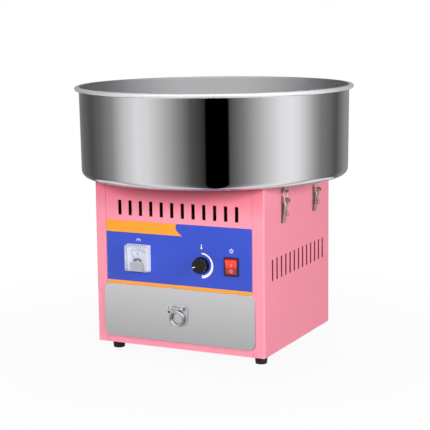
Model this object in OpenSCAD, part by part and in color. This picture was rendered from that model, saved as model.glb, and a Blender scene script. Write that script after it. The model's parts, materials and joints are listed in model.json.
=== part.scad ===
// Electric candy floss machine: a sheet steel cabinet on rubber feet with its controls and a
// drawer in front, a belt-driven spinner head on the deck, and a lift-off bowl held down by four
// toggle latches. Millimetres, +Z up, front towards -Y. The origin is on the ground below the
// middle of the cabinet.

/* [Cabinet] */
// Width over the side panels
cabinet_w = 340; // [334:1:352]
// Depth over the front and rear panels
cabinet_d = 313; // [308:1:330]
// Height from the underside of the base plate to the deck
cabinet_h = 304; // [302:1:330]
// Thickness of the sheet steel
sheet = 1.5; // [1.2:0.1:1.8]
// Width of the side panels' flanges on the front and rear
flange_w = 22; // [20:1:24]
// Outer radius of the bends at the cabinet's upright corners
bend_r = 4; // [3:0.5:6]
// Width of the lap of the front and rear panels behind the flanges
lap_w = 14; // [12:1:15]
// Height of the rubber feet
foot_h = 19; // [16:1:24]
// Radius of a foot at the ground
foot_low_r = 10.5; // [9:0.5:12]
// Radius of a foot at the base plate
foot_top_r = 12; // [11:0.5:14]
// Distance of a front foot's middle from the side of the cabinet
foot_inset_x = 23; // [20:1:24]
// Distance of a rear foot's middle from the side of the cabinet
rear_foot_inset_x = 48; // [46:1:60]
// Distance of a foot's middle from the front or rear of the cabinet
foot_inset_y = 36.5; // [30:0.5:45]

/* [Vents] */
// Number of slots in the front panel
front_slots = 12; // [8:1:12]
// Spacing of the slots in the front panel
front_slot_pitch = 21.4; // [18:0.1:22]
// Width of a slot in the front panel
front_slot_w = 5.9; // [4:0.1:8]
// Height of a slot in the front panel
front_slot_h = 26.5; // [20:0.5:30]
// Distance of the front slots' top ends below the deck
front_slot_drop = 36; // [34:0.5:40]
// Number of slots in each side panel
side_slots = 13; // [9:1:13]
// Spacing of the slots in a side panel
side_slot_pitch = 20; // [16:0.5:21]
// Width of a slot in a side panel
side_slot_w = 4.6; // [3:0.1:6]
// Height of a slot in a side panel
side_slot_h = 38; // [28:0.5:44]
// Height of the side slots' lower ends above the base plate
side_slot_rise = 133.7; // [120:0.1:150]

/* [Controls] */
// Height of the meter's middle above the base plate
meter_rise = 163.7; // [160:0.1:165]
// Height of the knob's middle above the base plate
knob_rise = 160; // [158:0.5:165]
// Height of the switch's middle above the base plate
switch_rise = 161; // [158:0.5:165]
// Height of the printed overlay's top edge above the base plate
overlay_rise = 231; // [222:0.5:236]
// Thickness of the overlay
overlay_t = 0.4; // [0.3:0.1:0.6]
// Sideways place of the meter's middle
meter_x = -80; // [-95:1:-70]
// Width of the meter's cover
meter_w = 49.5; // [47:0.5:54]
// Height of the meter's cover
meter_h = 50; // [48:0.5:54]
// How far the meter stands out of the overlay
meter_proud = 12; // [11:0.5:15]
// Radius of the meter's drum behind the panel
meter_drum_r = 20.5; // [18:0.5:21]
// Radius of the meter's scale
meter_scale_r = 25.4; // [22:0.1:26]
// Sideways place of the temperature knob
knob_x = 48.5; // [40:0.5:56]
// Radius of the temperature knob's skirt
knob_r = 15; // [13:0.5:16]
// Height of the temperature knob
knob_h = 15; // [13:0.5:18]
// Sideways place of the power switch
switch_x = 107; // [100:1:112]
// Width of the switch's bezel
switch_w = 28.4; // [27:0.1:30]
// Height of the switch's bezel
switch_h = 33.8; // [33:0.1:38]
// Tilt of the rocker either way from level
rocker_tilt = 7; // [4:0.5:8]

/* [Drawer] */
// Width of the drawer front
drawer_w = 306; // [300:1:310]
// Height of the drawer front
drawer_h = 99.5; // [96:0.5:101]
// Height of the drawer front's lower edge above the base plate
drawer_rise = 13; // [12:0.5:14]
// How far the drawer front stands out of the cabinet
drawer_proud = 3; // [2.5:0.1:4]
// Corner radius of the drawer front
drawer_corner_r = 12; // [8:0.5:16]
// Width of the tray
tray_w = 280; // [270:1:282]
// Depth of the tray
tray_d = 285; // [240:1:288]
// Height of the tray
tray_h = 80; // [60:1:84]
// Thickness of the drawer's sheet
tray_t = 1.2; // [0.8:0.1:1.5]
// Outer radius of the ring pull
ring_r = 15.5; // [13:0.5:17]
// Radius of the ring pull's round section
ring_wire_r = 2.7; // [2:0.1:3]
// Width of the plate behind the ring pull
pull_plate_w = 41; // [38:0.5:46]
// Height of the plate behind the ring pull
pull_plate_h = 39; // [37:0.5:44]

/* [Bowl] */
// Outer radius of the rim
rim_r = 260; // [256:1:268]
// How far the rim stands out from the wall under it
rim_overhang = 8.3; // [8:0.1:10]
// How much the wall draws in from the rim down to the bottom corner
wall_draft = 1.7; // [0:0.1:3]
// Height of the bowl
bowl_h = 167; // [120:1:180]
// Radius of the rolled bead on the rim
bead_r = 3.8; // [2:0.1:3.9]
// Thickness of the bowl's sheet
bowl_t = 1.2; // [0.8:0.1:1.5]
// Outer radius of the bowl's bottom corner
bowl_corner_r = 13; // [10:0.5:16]
// Radius of the hole in the bowl's bottom
bowl_hole_r = 80; // [76:1:90]
// Height of the collar round that hole
bowl_collar_h = 12; // [8:0.5:16]

/* [Latches] */
// Distance of each latch from the middle of the side
latch_y = 75; // [60:1:90]
// Height of the latch lever's pivot below the deck
latch_drop = 32; // [31:0.5:33]
// Distance of the lever's pivot from the side panel
latch_stand = 9.5; // [9:0.1:11]
// Width of the lever between the ears
lever_w = 8; // [7:0.1:8.4]
// Width of the lever's blade below the ears
blade_w = 12.6; // [11:0.1:13]
// Length of the lever below its pivot
lever_l = 41; // [38:0.5:48]
// Distance between the lever's pivot and the bail's
bail_throw = 8.5; // [8.2:0.1:8.8]
// Radius of the bail's wire
bail_wire_r = 0.9; // [0.8:0.05:1]
// Distance from the middle to each leg of the bail
bail_half_w = 7; // [6.8:0.1:8]

/* [Drive] */
// Radius of the spindle
spindle_r = 7.5; // [7:0.5:8]
// Outer radius of the spindle's ball bearings
bearing_r = 17.5; // [16:0.5:18]
// Width of a ball bearing
bearing_w = 11; // [9:0.5:12]
// Height of the bearing housing under the deck
housing_h = 70; // [66:1:72]
// Distance between the motor and the outside of the rear panel
motor_wall_gap = 21.5; // [14:0.5:24]
// Radius of the motor
motor_r = 40; // [34:1:42]
// Length of the motor's body
motor_h = 72; // [64:1:78]
// Radius of the spindle pulley where the belt lies
spindle_pulley_r = 27; // [24:0.5:30]
// Radius of the motor pulley where the belt lies
motor_pulley_r = 18; // [15:0.5:20]
// Width of the belt
belt_w = 8; // [6:0.5:10]
// Thickness of the belt
belt_t = 3; // [2:0.1:4]
// Depth of the belt's middle below the deck
belt_drop = 119; // [118:0.5:122]

/* [Spinner head] */
// Radius of the spinner head
head_r = 62; // [58:1:66]
// Height of the head's base above the deck
head_rise = 13; // [11:0.5:20]
// Radius of the perforated band
band_r = 57; // [54:0.5:57]
// Height of the perforated band
band_h = 36; // [28:0.5:40]
// Number of slots in the perforated band
band_slots = 60; // [40:1:64]
// Radius of the heater ribbon
heater_r = 50; // [46:0.5:51]
// Radius of the filling hole in the lid
fill_r = 22; // [18:0.5:26]

/* [Hidden] */
$fn = 64;

// Clearances: seated pieces of different bodies, running pins, sliding pieces and panel seams
seat_gap = 0.3;
fit = 0.05;
slide_gap = 0.3;
seam_gap = 0.3;
cut = 1;

pink = [1.0, 0.62, 0.70];
steel = [0.72, 0.72, 0.73];
dark_steel = [0.45, 0.45, 0.46];
black = [0.12, 0.12, 0.13];
brass = [0.80, 0.62, 0.28];
grey = [0.62, 0.63, 0.65];

half_w = cabinet_w / 2;
half_d = cabinet_d / 2;
in_w = half_w - sheet;
in_d = half_d - sheet;
core_d = in_d - sheet;
floor_z = foot_h;
deck_z = floor_z + cabinet_h;
under_deck_z = deck_z - sheet;
seam_x = half_w - flange_w;
infill_half_w = seam_x - seam_gap;

// M4 pan head screws and their nuts
screw_r = 2;
screw_head_r = 3.6;
screw_head_h = 2.4;
nut_r = 4;
nut_h = 3.2;
rear_screw_x = seam_x + lap_w / 2;
rear_screw_rises = [0.1, 0.5, 0.9];
foot_head_z = 5;
rear_foot_x = half_w - rear_foot_inset_x;
rear_foot_y = half_d - foot_inset_y;

// Control panel: its parts are placed outwards from the overlay's face
overlay_y = -half_d - overlay_t;
panel_back = -overlay_t - sheet;
meter_z = floor_z + meter_rise;
knob_z = floor_z + knob_rise;
switch_z = floor_z + switch_rise;
overlay_corner_r = 3;
drawer_z0 = floor_z + drawer_rise;
drawer_z1 = drawer_z0 + drawer_h;
overlay_z0 = drawer_z1 + seat_gap;
overlay_z1 = floor_z + overlay_rise;
overlay_half_w = seam_x - 1;
drum_hole_r = meter_drum_r + 0.5;
bushing_r = 3.9;
bushing_hole_r = bushing_r + 0.2;
housing_half_w = switch_w / 2 - 1.5;
housing_half_h = switch_h / 2 - 1.5;
housing_fit = 0.2;

// Meter: flange, dial, needle and cover stack up outwards
case_flange_t = 3;
dial_t = 0.8;
dial_z = case_flange_t + dial_t;
lens_t = 1.5;
dial_margin = 2.5;
needle_pivot_z = -10.9;
needle_pin_r = 0.8;
needle_rest = 36;
drum_depth = 24;
terminal_r = 2;
terminal_x = 9;
terminal_end = 32;
terminal_l = 10;
pivot_cover_r = 10.9;
pivot_cover_w = 3.4;
pivot_cover_half_angle = 58;

// Knob and potentiometer
knob_gap = 0.6;
skirt_h = 3;
pot_shaft_r = 3;
pot_depth = 16;
knob_turn = 107;

// Fittings on the rear panel
rear_fittings_z = floor_z + 131;
gland_x = -120;
gland_thread_r = 10;
gland_bore_r = 5;
gland_thread_depth = 12;
gland_nut_r = 14;
gland_nut_h = 6;
gland_cap_r = 12;
gland_cap_h = 9;
gland_taper_r = 8;
gland_taper_h = 5;
fuse_x = -80;
fuse_thread_r = 6.4;
fuse_depth = 24;
fuse_flange_r = 9;
fuse_flange_t = 2;
fuse_cap_r = 7;
fuse_cap_h = 9;
locknut_t = 3;

// Regulator board: it hangs below the deck on the left side panel
board_gap = 7;
board_t = 1.6;
board_y0 = -60;
board_l = 90;
board_h = 62;
board_drop = 61;
board_post_r = 3;
board_post_inset = 5;
board_y1 = board_y0 + board_l;
board_z1 = deck_z - board_drop;
board_z0 = board_z1 - board_h;
board_face = board_gap + board_t;
relay_h = 18;
relay_size = [22, 24];
relay_place = [62, 8];
capacitor_r = 5;
capacitor_h = 14;
capacitor_drops = [8, 22];
coil_h = 9;
coil_size = [9, 34];
coil_place = [48, 6];
fin_t = 2;
fin_pitch = 6;
fin_count = 7;
fin_h = 14;
sink_t = 2.5;
sink_inset_y = 6;
sink_inset_z = 12;
sink_l = 38;

// Rocker: its size, its face's rise at the ends and at the fold, the fold's place, and its pivot
rocker_half_w = housing_half_w - 1.9;
rocker_half_h = housing_half_h - 2.4;
rocker_end_rise = 5;
rocker_fold_rise = 3.2;
rocker_fold = 6;
rocker_pivot_z = -1.5;
rocker_pin_r = 1.5;

// Drawer: the runners' shelves carry the tray
shelf_z = floor_z + 17;
tray_z0 = shelf_z + slide_gap;
tray_y0 = -half_d - drawer_proud + tray_t;
tray_y1 = tray_y0 + tray_d;
guide_x = tray_w / 2 + slide_gap;
opening_half_w = tray_w / 2 + 3;
runner_y1 = core_d - 20;
runner_tab = 8;
pull_y = -half_d - drawer_proud;
pull_top_z = drawer_z0 + 67;
pull_plate_t = 1.2;
ring_out = pull_plate_t + 0.4 + ring_wire_r;
pull_hinge_z = pull_top_z - 3;
ring_z = pull_hinge_z - ring_r - 3;
neck_w = 7;
neck_t = 3;
pull_pin_r = 1.5;
barrel_r = 2.4;
barrel_half_l = 8.7;
knuckle_l = 4.5;

// Drive
motor_plate_t = 3;
bush_h = 10;
bush_r = 7;
bush_half_x = 46;
bush_half_y = 30;
motor_plate_edge = 11;
motor_y = half_d - motor_wall_gap - motor_r;
motor_top_z = under_deck_z - bush_h - motor_plate_t;
motor_low_z = motor_top_z - motor_h;
motor_boss_r = 15;
motor_boss_h = 6;
motor_shaft_r = 5;
belt_z = deck_z - belt_drop;
pulley_w = belt_w + 5;
pulley_rim = belt_t + 1;
groove_w = belt_w + 1;
housing_r = 24;
housing_flange_r = 45;
housing_flange_t = 6;
housing_screw_ring_r = 36;
housing_low_z = under_deck_z - housing_h;
deck_hole_r = 20;
shoulder_r = 11;
spindle_low_z = belt_z - pulley_w / 2 - 6;
hub_low_z = belt_z + pulley_w / 2 + 7;
hub_h = 30;
ring_face_r = 20;
slip_ring_in_r = 16;
slip_ring_h = 8;
slip_ring_zs = [hub_low_z + 4, hub_low_z + 18];
brush_w = 8;
brush_h = 6;
brush_gap = 0.3;
brush_x = ring_face_r + brush_gap;
brush_l = 18;
holder_x0 = ring_face_r + 6;
holder_x1 = holder_x0 + 18;
holder_half_w = 9;
arm_x1 = housing_flange_r - 2;
arm_x0 = arm_x1 - 4;
brush_zs = [for (z = slip_ring_zs) z + slip_ring_h / 2];

// Spinner head
head_z = deck_z + head_rise;
head_plate_t = 6;
head_floor_z = head_z + head_plate_t;
head_rim_h = 6;
head_hub_r = 16;
head_hub_h = 4;
lid_z = head_floor_z + band_h;
lid_t = 4;
band_t = 1.2;
ribbon_t = 1;
ribbon_h = band_h - 16;
ribbon_z = head_floor_z + 8;
head_screw_ring_r = 36;

// Bowl: it locates on the deck's spigot and rests on the deck
bowl_z = deck_z + seat_gap;
spigot_r = bowl_hole_r - 0.5;
spigot_h = 8;
wall_top_r = rim_r - rim_overhang;
wall_low_r = wall_top_r - wall_draft;
bead_x = rim_r - bead_r;
bead_z = bowl_z + bowl_h - bead_r;

// Latches: distances outwards from the side panel
latch_z = deck_z - latch_drop;
latch_plate_t = 1.2;
latch_plate_half_w = 6.5;
lever_t = 1.2;
lever_tip_out = 3.2;
lever_lean = atan((latch_stand - lever_tip_out) / lever_l);
latch_pin_r = 1.5;
knuckle_r = 2.6;
ear_gap = 0.4;
ear_t = 1.2;
ear_r = 4;
over_centre = 5;
bail_out = latch_stand - bail_throw * sin(over_centre);
bail_z = latch_z - bail_throw * cos(over_centre);
bail_bend_r = 2.5;
catch_t = 1.2;
catch_half_w = bail_half_w - 2;
catch_out = 0.6;
catch_rivet_out = 9;
catch_rivet_r = 2;
catch_tab_out = 14;
catch_tab_half_w = 8;
cup_drop = 16.9;
cup_z = deck_z - cup_drop;
cup_w = 7;
cup_lip_h = 3.7;
bar_out = catch_out + catch_t + 3.2;
bar_z = cup_z + catch_t + seat_gap + bail_wire_r;
eye_drop = 23.5;
eye_r = 3.9;
eye_wire_r = 0.7;
eye_out = 9.6;
blade_drop = 13;
blade_corner_r = 3;

// Shared shapes

module box(lo, hi)
    translate(lo) cube(hi - lo);

module both_sides()
    for (side = [0, 1])
        mirror([side, 0, 0]) children();

module rounded_rect(w, h, r) {
    square([w - 2 * r, h], center = true);
    square([w, h - 2 * r], center = true);
    for (x = [-1, 1], y = [-1, 1])
        translate([x * (w / 2 - r), y * (h / 2 - r)]) circle(r);
}

module rounded_plate(w, h, r, t)
    linear_extrude(t) rounded_rect(w, h, r);

// Local Z points out of the front, local Y points up
module on_front(x, z, y)
    translate([x, y, z]) rotate([90, 0, 0]) children();

// Local Z points out of the rear, local Y points up
module on_rear(x, z)
    translate([x, half_d, z]) rotate([90, 0, 180]) children();

// Local X points out of one side of the cabinet
module on_side(side, y)
    mirror([side < 0 ? 1 : 0, 0, 0]) translate([half_w, y, 0]) children();

// Along local Y, centred on it
module cross_cylinder(r, half_l)
    rotate([90, 0, 0]) cylinder(r = r, h = 2 * half_l, center = true);

module ring_solid(r_out, r_in, h)
    linear_extrude(h) difference() {
        circle(r_out);
        circle(r_in);
    }

module nut()
    difference() {
        cylinder(r = nut_r, h = nut_h, $fn = 6);
        translate([0, 0, -cut]) cylinder(r = screw_r + fit, h = nut_h + 2 * cut);
    }

// Head above local Z 0, shank below it
module screw(l) {
    cylinder(r = screw_head_r, h = screw_head_h);
    translate([0, 0, -l]) cylinder(r = screw_r, h = l + screw_head_h / 2);
}

module screw_hole(l)
    translate([0, 0, -l / 2]) cylinder(r = screw_r + fit, h = l);

// Places of what repeats

module at_feet()
    for (x = [-1, 1]) {
        translate([x * (half_w - foot_inset_x), foot_inset_y - half_d, 0]) children();
        translate([x * rear_foot_x, rear_foot_y, 0]) children();
    }

module at_rear_screws()
    for (x = [-1, 1], rise = rear_screw_rises)
        on_rear(x * rear_screw_x, floor_z + rise * cabinet_h) children();

module at_housing_screws()
    for (a = [45:90:315])
        rotate(a) translate([housing_screw_ring_r, 0, deck_z]) children();

module at_bushes()
    for (x = [-1, 1], y = [-1, 1])
        translate([x * bush_half_x, motor_y + y * bush_half_y, under_deck_z]) children();

// Cabinet

module bent_outline(x1, y1, r) {
    translate([seam_x - cut, -y1]) square([x1 - r - seam_x + cut, 2 * y1]);
    translate([seam_x - cut, r - y1]) square([x1 - seam_x + cut, 2 * (y1 - r)]);
    for (side = [-1, 1])
        translate([x1 - r, side * (y1 - r)]) circle(r);
}

module side_panel()
    color(pink) difference() {
        translate([0, 0, floor_z]) linear_extrude(cabinet_h) difference() {
            bent_outline(half_w, half_d, bend_r);
            bent_outline(in_w, in_d, bend_r - sheet);
            translate([seam_x - 2 * cut, -half_d - cut]) square([2 * cut, cabinet_d + 2 * cut]);
        }
        for (i = [0:side_slots - 1])
            translate([half_w, (i - (side_slots - 1) / 2) * side_slot_pitch,
                       floor_z + side_slot_rise + side_slot_h / 2])
                cube([4 * sheet, side_slot_w, side_slot_h], center = true);
        at_rear_screws() screw_hole(6 * sheet);
    }

module side_panel_left() mirror([1, 0, 0]) side_panel();
module side_panel_right() side_panel();

// A panel between the front flanges, with laps that lie against the backs of the flanges
module infill_panel() {
    box([-infill_half_w, -half_d, floor_z], [infill_half_w, -in_d, deck_z]);
    both_sides()
        box([infill_half_w - lap_w, -in_d, floor_z], [seam_x + lap_w, -core_d, deck_z]);
}

module vent_row()
    for (i = [0:front_slots - 1])
        translate([(i - (front_slots - 1) / 2) * front_slot_pitch, -half_d,
                   deck_z - front_slot_drop - front_slot_h / 2])
            cube([front_slot_w, 6 * sheet, front_slot_h], center = true);

module meter_hole() on_front(meter_x, meter_z, 0)
    cylinder(r = drum_hole_r, h = cabinet_d);

module knob_hole() on_front(knob_x, knob_z, 0)
    cylinder(r = bushing_hole_r, h = cabinet_d);

module switch_hole() on_front(switch_x, switch_z, 0)
    translate([0, 0, half_d]) cube([2 * (housing_half_w + housing_fit),
                                    2 * (housing_half_h + housing_fit), cabinet_d], center = true);

module front_panel()
    color(pink) difference() {
        infill_panel();
        vent_row();
        meter_hole();
        knob_hole();
        switch_hole();
        box([-opening_half_w, -half_d - cut, tray_z0 - 1],
            [opening_half_w, -core_d + cut, tray_z0 + tray_h + 3]);
    }

module rear_panel()
    color(pink) difference() {
        mirror([0, 1, 0]) infill_panel();
        mirror([0, 1, 0]) vent_row();
        at_rear_screws() screw_hole(6 * sheet);
        on_rear(gland_x, rear_fittings_z) screw_clear(gland_thread_r);
        on_rear(fuse_x, rear_fittings_z) screw_clear(fuse_thread_r);
    }

module screw_clear(r)
    translate([0, 0, -4 * sheet]) cylinder(r = r + fit, h = 8 * sheet);

module base_plate()
    color(pink) difference() {
        union() {
            translate([0, 0, floor_z])
                rounded_plate(2 * in_w, 2 * core_d, bend_r, sheet);
            both_sides()
                box([in_w - sheet, bend_r - core_d, floor_z], [in_w, core_d - bend_r, floor_z + 12]);
        }
        at_feet() translate([0, 0, floor_z]) screw_hole(4 * sheet);
    }

module top_deck()
    color(steel) difference() {
        union() {
            translate([0, 0, under_deck_z])
                rounded_plate(2 * in_w, 2 * core_d, bend_r, sheet);
            both_sides()
                box([in_w - sheet, bend_r - core_d, deck_z - 12], [in_w, core_d - bend_r, deck_z]);
            translate([0, 0, under_deck_z]) cylinder(r = spigot_r, h = sheet + spigot_h);
        }
        translate([0, 0, deck_z]) cylinder(r = spigot_r - sheet, h = spigot_h + cut);
        translate([0, 0, under_deck_z - cut]) cylinder(r = deck_hole_r, h = sheet + 2 * cut);
        at_housing_screws() screw_hole(4 * sheet);
        at_bushes() screw_hole(4 * sheet);
    }

module control_overlay()
    color([0.24, 0.33, 0.80]) difference() {
        on_front(0, (overlay_z0 + overlay_z1) / 2, -half_d)
            rounded_plate(2 * overlay_half_w, overlay_z1 - overlay_z0, overlay_corner_r, overlay_t);
        meter_hole();
        knob_hole();
        switch_hole();
    }

module machine_screws()
    color(steel) {
        at_rear_screws() screw(2 * sheet + 4);
        at_housing_screws() screw(sheet + housing_flange_t + 2);
        at_bushes() translate([0, 0, -bush_h - motor_plate_t]) mirror([0, 0, 1])
            screw(motor_plate_t + bush_h + sheet);
        at_feet() {
            translate([0, 0, foot_head_z]) mirror([0, 0, 1])
                screw(floor_z - foot_head_z + 2 * sheet + nut_h + 1);
            translate([0, 0, floor_z + 2 * sheet]) nut();
        }
    }

module feet()
    color(black) at_feet() difference() {
        cylinder(r1 = foot_low_r, r2 = foot_top_r, h = foot_h);
        translate([0, 0, -cut]) cylinder(r = screw_head_r + 1, h = foot_head_z + cut);
        cylinder(r = screw_r + fit, h = 2 * foot_h);
    }

// Drawer

module runner()
    difference() {
        union() {
            box([guide_x, -core_d, floor_z + sheet], [guide_x + sheet, runner_y1, shelf_z + 22]);
            box([guide_x - 12, -core_d, shelf_z - sheet], [guide_x + cut, runner_y1, shelf_z]);
            box([guide_x, -core_d, floor_z + sheet],
                [in_w - sheet - slide_gap, runner_y1, floor_z + 2 * sheet]);
            box([rear_foot_x - runner_tab, rear_foot_y - runner_tab, floor_z + sheet],
                [guide_x + cut, rear_foot_y + runner_tab, floor_z + 2 * sheet]);
        }
        at_feet() translate([0, 0, floor_z + sheet]) screw_hole(4 * sheet);
    }

module drawer_runners() color(dark_steel) both_sides() runner();

module drawer_front()
    color(steel) on_front(0, (drawer_z0 + drawer_z1) / 2, -half_d - seat_gap) difference() {
        rounded_plate(drawer_w, drawer_h, drawer_corner_r, drawer_proud - seat_gap);
        translate([0, 0, -cut])
            rounded_plate(drawer_w - 2 * tray_t, drawer_h - 2 * tray_t, drawer_corner_r - tray_t,
                          drawer_proud - seat_gap - tray_t + cut);
    }

module drawer_tray()
    color(steel) difference() {
        box([-tray_w / 2, tray_y0, tray_z0], [tray_w / 2, tray_y1, tray_z0 + tray_h]);
        box([tray_t - tray_w / 2, tray_y0 + tray_t, tray_z0 + tray_t],
            [tray_w / 2 - tray_t, tray_y1 - tray_t, tray_z0 + tray_h + cut]);
    }

module pull_plate()
    color(steel) on_front(0, 0, pull_y) difference() {
        union() {
            linear_extrude(pull_plate_t) {
                translate([0, pull_top_z - pull_plate_h + pull_plate_w / 2]) circle(pull_plate_w / 2);
                translate([-pull_plate_w / 2, pull_top_z - pull_plate_h + pull_plate_w / 2])
                    square([pull_plate_w, pull_plate_h - pull_plate_w / 2]);
            }
            both_sides() translate([barrel_half_l + slide_gap, pull_hinge_z, ring_out]) {
                rotate([0, 90, 0]) cylinder(r = 3.4, h = knuckle_l);
                translate([0, -3.4, -ring_out]) cube([knuckle_l, 6.8, ring_out]);
            }
        }
        translate([0, pull_hinge_z, ring_out])
            rotate([0, 90, 0]) cylinder(r = pull_pin_r + fit, h = pull_plate_w, center = true);
    }

module pull_ring()
    color(steel) on_front(0, 0, pull_y) translate([0, 0, ring_out]) {
        translate([0, ring_z, 0])
            rotate_extrude() translate([ring_r - ring_wire_r, 0]) circle(ring_wire_r);
        translate([-neck_w / 2, ring_z + ring_r - ring_wire_r, -neck_t / 2])
            cube([neck_w, pull_hinge_z - ring_z - ring_r + ring_wire_r, neck_t]);
        translate([0, pull_hinge_z, 0]) rotate([0, 90, 0]) {
            cylinder(r = barrel_r, h = 2 * barrel_half_l, center = true);
            cylinder(r = pull_pin_r, h = 2 * (barrel_half_l + knuckle_l), center = true);
        }
    }

// Meter

module meter_case()
    color(black) on_front(meter_x, meter_z, overlay_y) difference() {
        union() {
            rounded_plate(meter_w, meter_h, 3, case_flange_t);
            translate([0, 0, -drum_depth]) cylinder(r = meter_drum_r, h = drum_depth + cut);
            both_sides() translate([terminal_x, 0, -terminal_end]) cylinder(r = terminal_r, h = terminal_l);
        }
        translate([0, needle_pivot_z, 0]) cylinder(r = needle_pin_r + fit, h = 2 * case_flange_t);
    }

module meter_dial()
    color([0.9, 0.91, 0.92]) on_front(meter_x, meter_z, overlay_y) difference() {
        translate([0, 0, case_flange_t])
            rounded_plate(meter_w - 2 * dial_margin, meter_h - 2 * dial_margin, 2, dial_t);
        translate([0, needle_pivot_z, 0]) cylinder(r = needle_pin_r + fit, h = 2 * dial_z);
    }

module meter_needle()
    color(black) on_front(meter_x, meter_z, overlay_y) translate([0, needle_pivot_z, 0]) {
        translate([0, 0, 1]) cylinder(r = needle_pin_r, h = dial_z);
        translate([0, 0, dial_z + seat_gap]) cylinder(r = 2.4, h = 1);
        rotate(needle_rest) translate([-0.4, -5, dial_z + seat_gap + 0.2])
            cube([0.8, meter_scale_r + 3, 0.6]);
    }

module cover_arc(half_angle)
    intersection() {
        difference() {
            circle(pivot_cover_r);
            circle(pivot_cover_r - pivot_cover_w);
        }
        polygon([[0, 0], 2 * pivot_cover_r * [-sin(half_angle), cos(half_angle)],
                 [0, 4 * pivot_cover_r], 2 * pivot_cover_r * [sin(half_angle), cos(half_angle)]]);
    }

module meter_pivot_cover()
    color(black) on_front(meter_x, meter_z, overlay_y) translate([0, needle_pivot_z, 0]) {
        translate([0, 0, dial_z + 1.9]) linear_extrude(1.2) cover_arc(pivot_cover_half_angle);
        translate([0, 0, dial_z]) linear_extrude(2) difference() {
            cover_arc(pivot_cover_half_angle);
            cover_arc(pivot_cover_half_angle - 8);
        }
    }

module meter_lens()
    color([0.85, 0.9, 0.95, 0.5]) on_front(meter_x, meter_z, overlay_y)
        translate([0, 0, case_flange_t]) difference() {
            rounded_plate(meter_w, meter_h, 3, meter_proud - case_flange_t);
            translate([0, 0, -cut])
                rounded_plate(meter_w - 2 * lens_t, meter_h - 2 * lens_t, 3 - lens_t / 2,
                              meter_proud - case_flange_t - lens_t + cut);
        }

// Temperature control

module temperature_knob()
    color(black) on_front(knob_x, knob_z, overlay_y) translate([0, 0, knob_gap])
        rotate(knob_turn) difference() {
            union() {
                cylinder(r = knob_r, h = skirt_h);
                translate([0, 0, skirt_h])
                    cylinder(r1 = knob_r - 1.2, r2 = knob_r - 2.2, h = knob_h - knob_gap - skirt_h);
            }
            for (a = [15:30:345])
                rotate(a) translate([knob_r + 0.6, 0, skirt_h]) cylinder(r = 3, h = knob_h, $fn = 32);
            translate([0, 0, -cut]) cylinder(r = 9, h = skirt_h + cut);
            cylinder(r = pot_shaft_r, h = knob_h - 4);
        }

module potentiometer()
    color(grey) on_front(knob_x, knob_z, overlay_y) difference() {
        union() {
            translate([0, 0, panel_back - pot_depth]) cylinder(r = 12, h = pot_depth);
            translate([0, 0, panel_back - cut]) cylinder(r = bushing_r, h = cut - panel_back + 2.5);
            cylinder(r = 6.5, h = 2, $fn = 6);
            translate([-5, -20, panel_back - 6]) cube([10, 12, 1.6]);
        }
        translate([0, 0, panel_back - 12]) cylinder(r = pot_shaft_r + fit, h = 20);
    }

module potentiometer_shaft()
    color(steel) on_front(knob_x, knob_z, overlay_y)
        translate([0, 0, panel_back - 12 + slide_gap])
            cylinder(r = pot_shaft_r, h = 12 - panel_back + knob_gap + knob_h - 5);

// Power switch

module switch_body()
    color(black) on_front(switch_x, switch_z, overlay_y) difference() {
        union() {
            rounded_plate(switch_w, switch_h, 1.5, 2.2);
            translate([0, 0, -8.5])
                cube([2 * housing_half_w, 2 * housing_half_h, 19], center = true);
            for (y = [-8, 0, 8])
                translate([0, y, -21]) cube([6.3, 0.8, 9], center = true);
        }
        translate([0, 0, -2]) cube([2 * rocker_half_w + 0.6, 2 * rocker_half_h + 2, 12], center = true);
        translate([0, 0, rocker_pivot_z])
            rotate([0, 90, 0]) cylinder(r = rocker_pin_r + fit, h = 2 * rocker_half_w + 2.6, center = true);
    }

module switch_rocker()
    color([0.9, 0.15, 0.12]) on_front(switch_x, switch_z, overlay_y)
        translate([0, 0, rocker_pivot_z]) rotate([rocker_tilt, 0, 0]) {
            rotate([90, 0, 90]) linear_extrude(2 * rocker_half_w, center = true)
                polygon([[-rocker_half_h, rocker_end_rise], [-rocker_half_h, -2], [rocker_half_h, -2],
                         [rocker_half_h, rocker_end_rise], [rocker_fold, rocker_fold_rise]]);
            rotate([0, 90, 0]) cylinder(r = rocker_pin_r, h = 2 * rocker_half_w + 2.2, center = true);
        }

// Electrics inside and on the rear

// Local X points inwards from the left side panel
module on_left_wall()
    translate([-in_w, 0, 0]) children();

module regulator_board()
    color([0.15, 0.45, 0.25]) on_left_wall() {
        box([board_gap, board_y0, board_z0], [board_face, board_y1, board_z1]);
        for (y = [board_y0 + board_post_inset, board_y1 - board_post_inset],
             z = [board_z0 + board_post_inset, board_z1 - board_post_inset])
            translate([0, y, z]) rotate([0, 90, 0]) cylinder(r = board_post_r, h = board_gap);
        translate([board_face, board_y0 + relay_place[0], board_z0 + relay_place[1]])
            cube([relay_h, relay_size[0], relay_size[1]]);
        for (drop = capacitor_drops)
            translate([board_face, board_y0 + relay_place[0] + relay_size[0] / 2, board_z1 - drop])
                rotate([0, 90, 0]) cylinder(r = capacitor_r, h = capacitor_h);
        translate([board_face, board_y0 + coil_place[0], board_z0 + coil_place[1]])
            cube([coil_h, coil_size[0], coil_size[1]]);
    }

module heatsink()
    color(grey) on_left_wall() {
        box([board_face, board_y0 + sink_inset_y, board_z0 + sink_inset_z],
            [board_face + sink_t, board_y0 + sink_inset_y + sink_l, board_z1 - sink_inset_z]);
        for (i = [0:fin_count - 1])
            translate([board_face, board_y0 + sink_inset_y + fin_pitch * i, board_z0 + sink_inset_z])
                cube([fin_h, fin_t, board_h - 2 * sink_inset_z]);
    }

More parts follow.
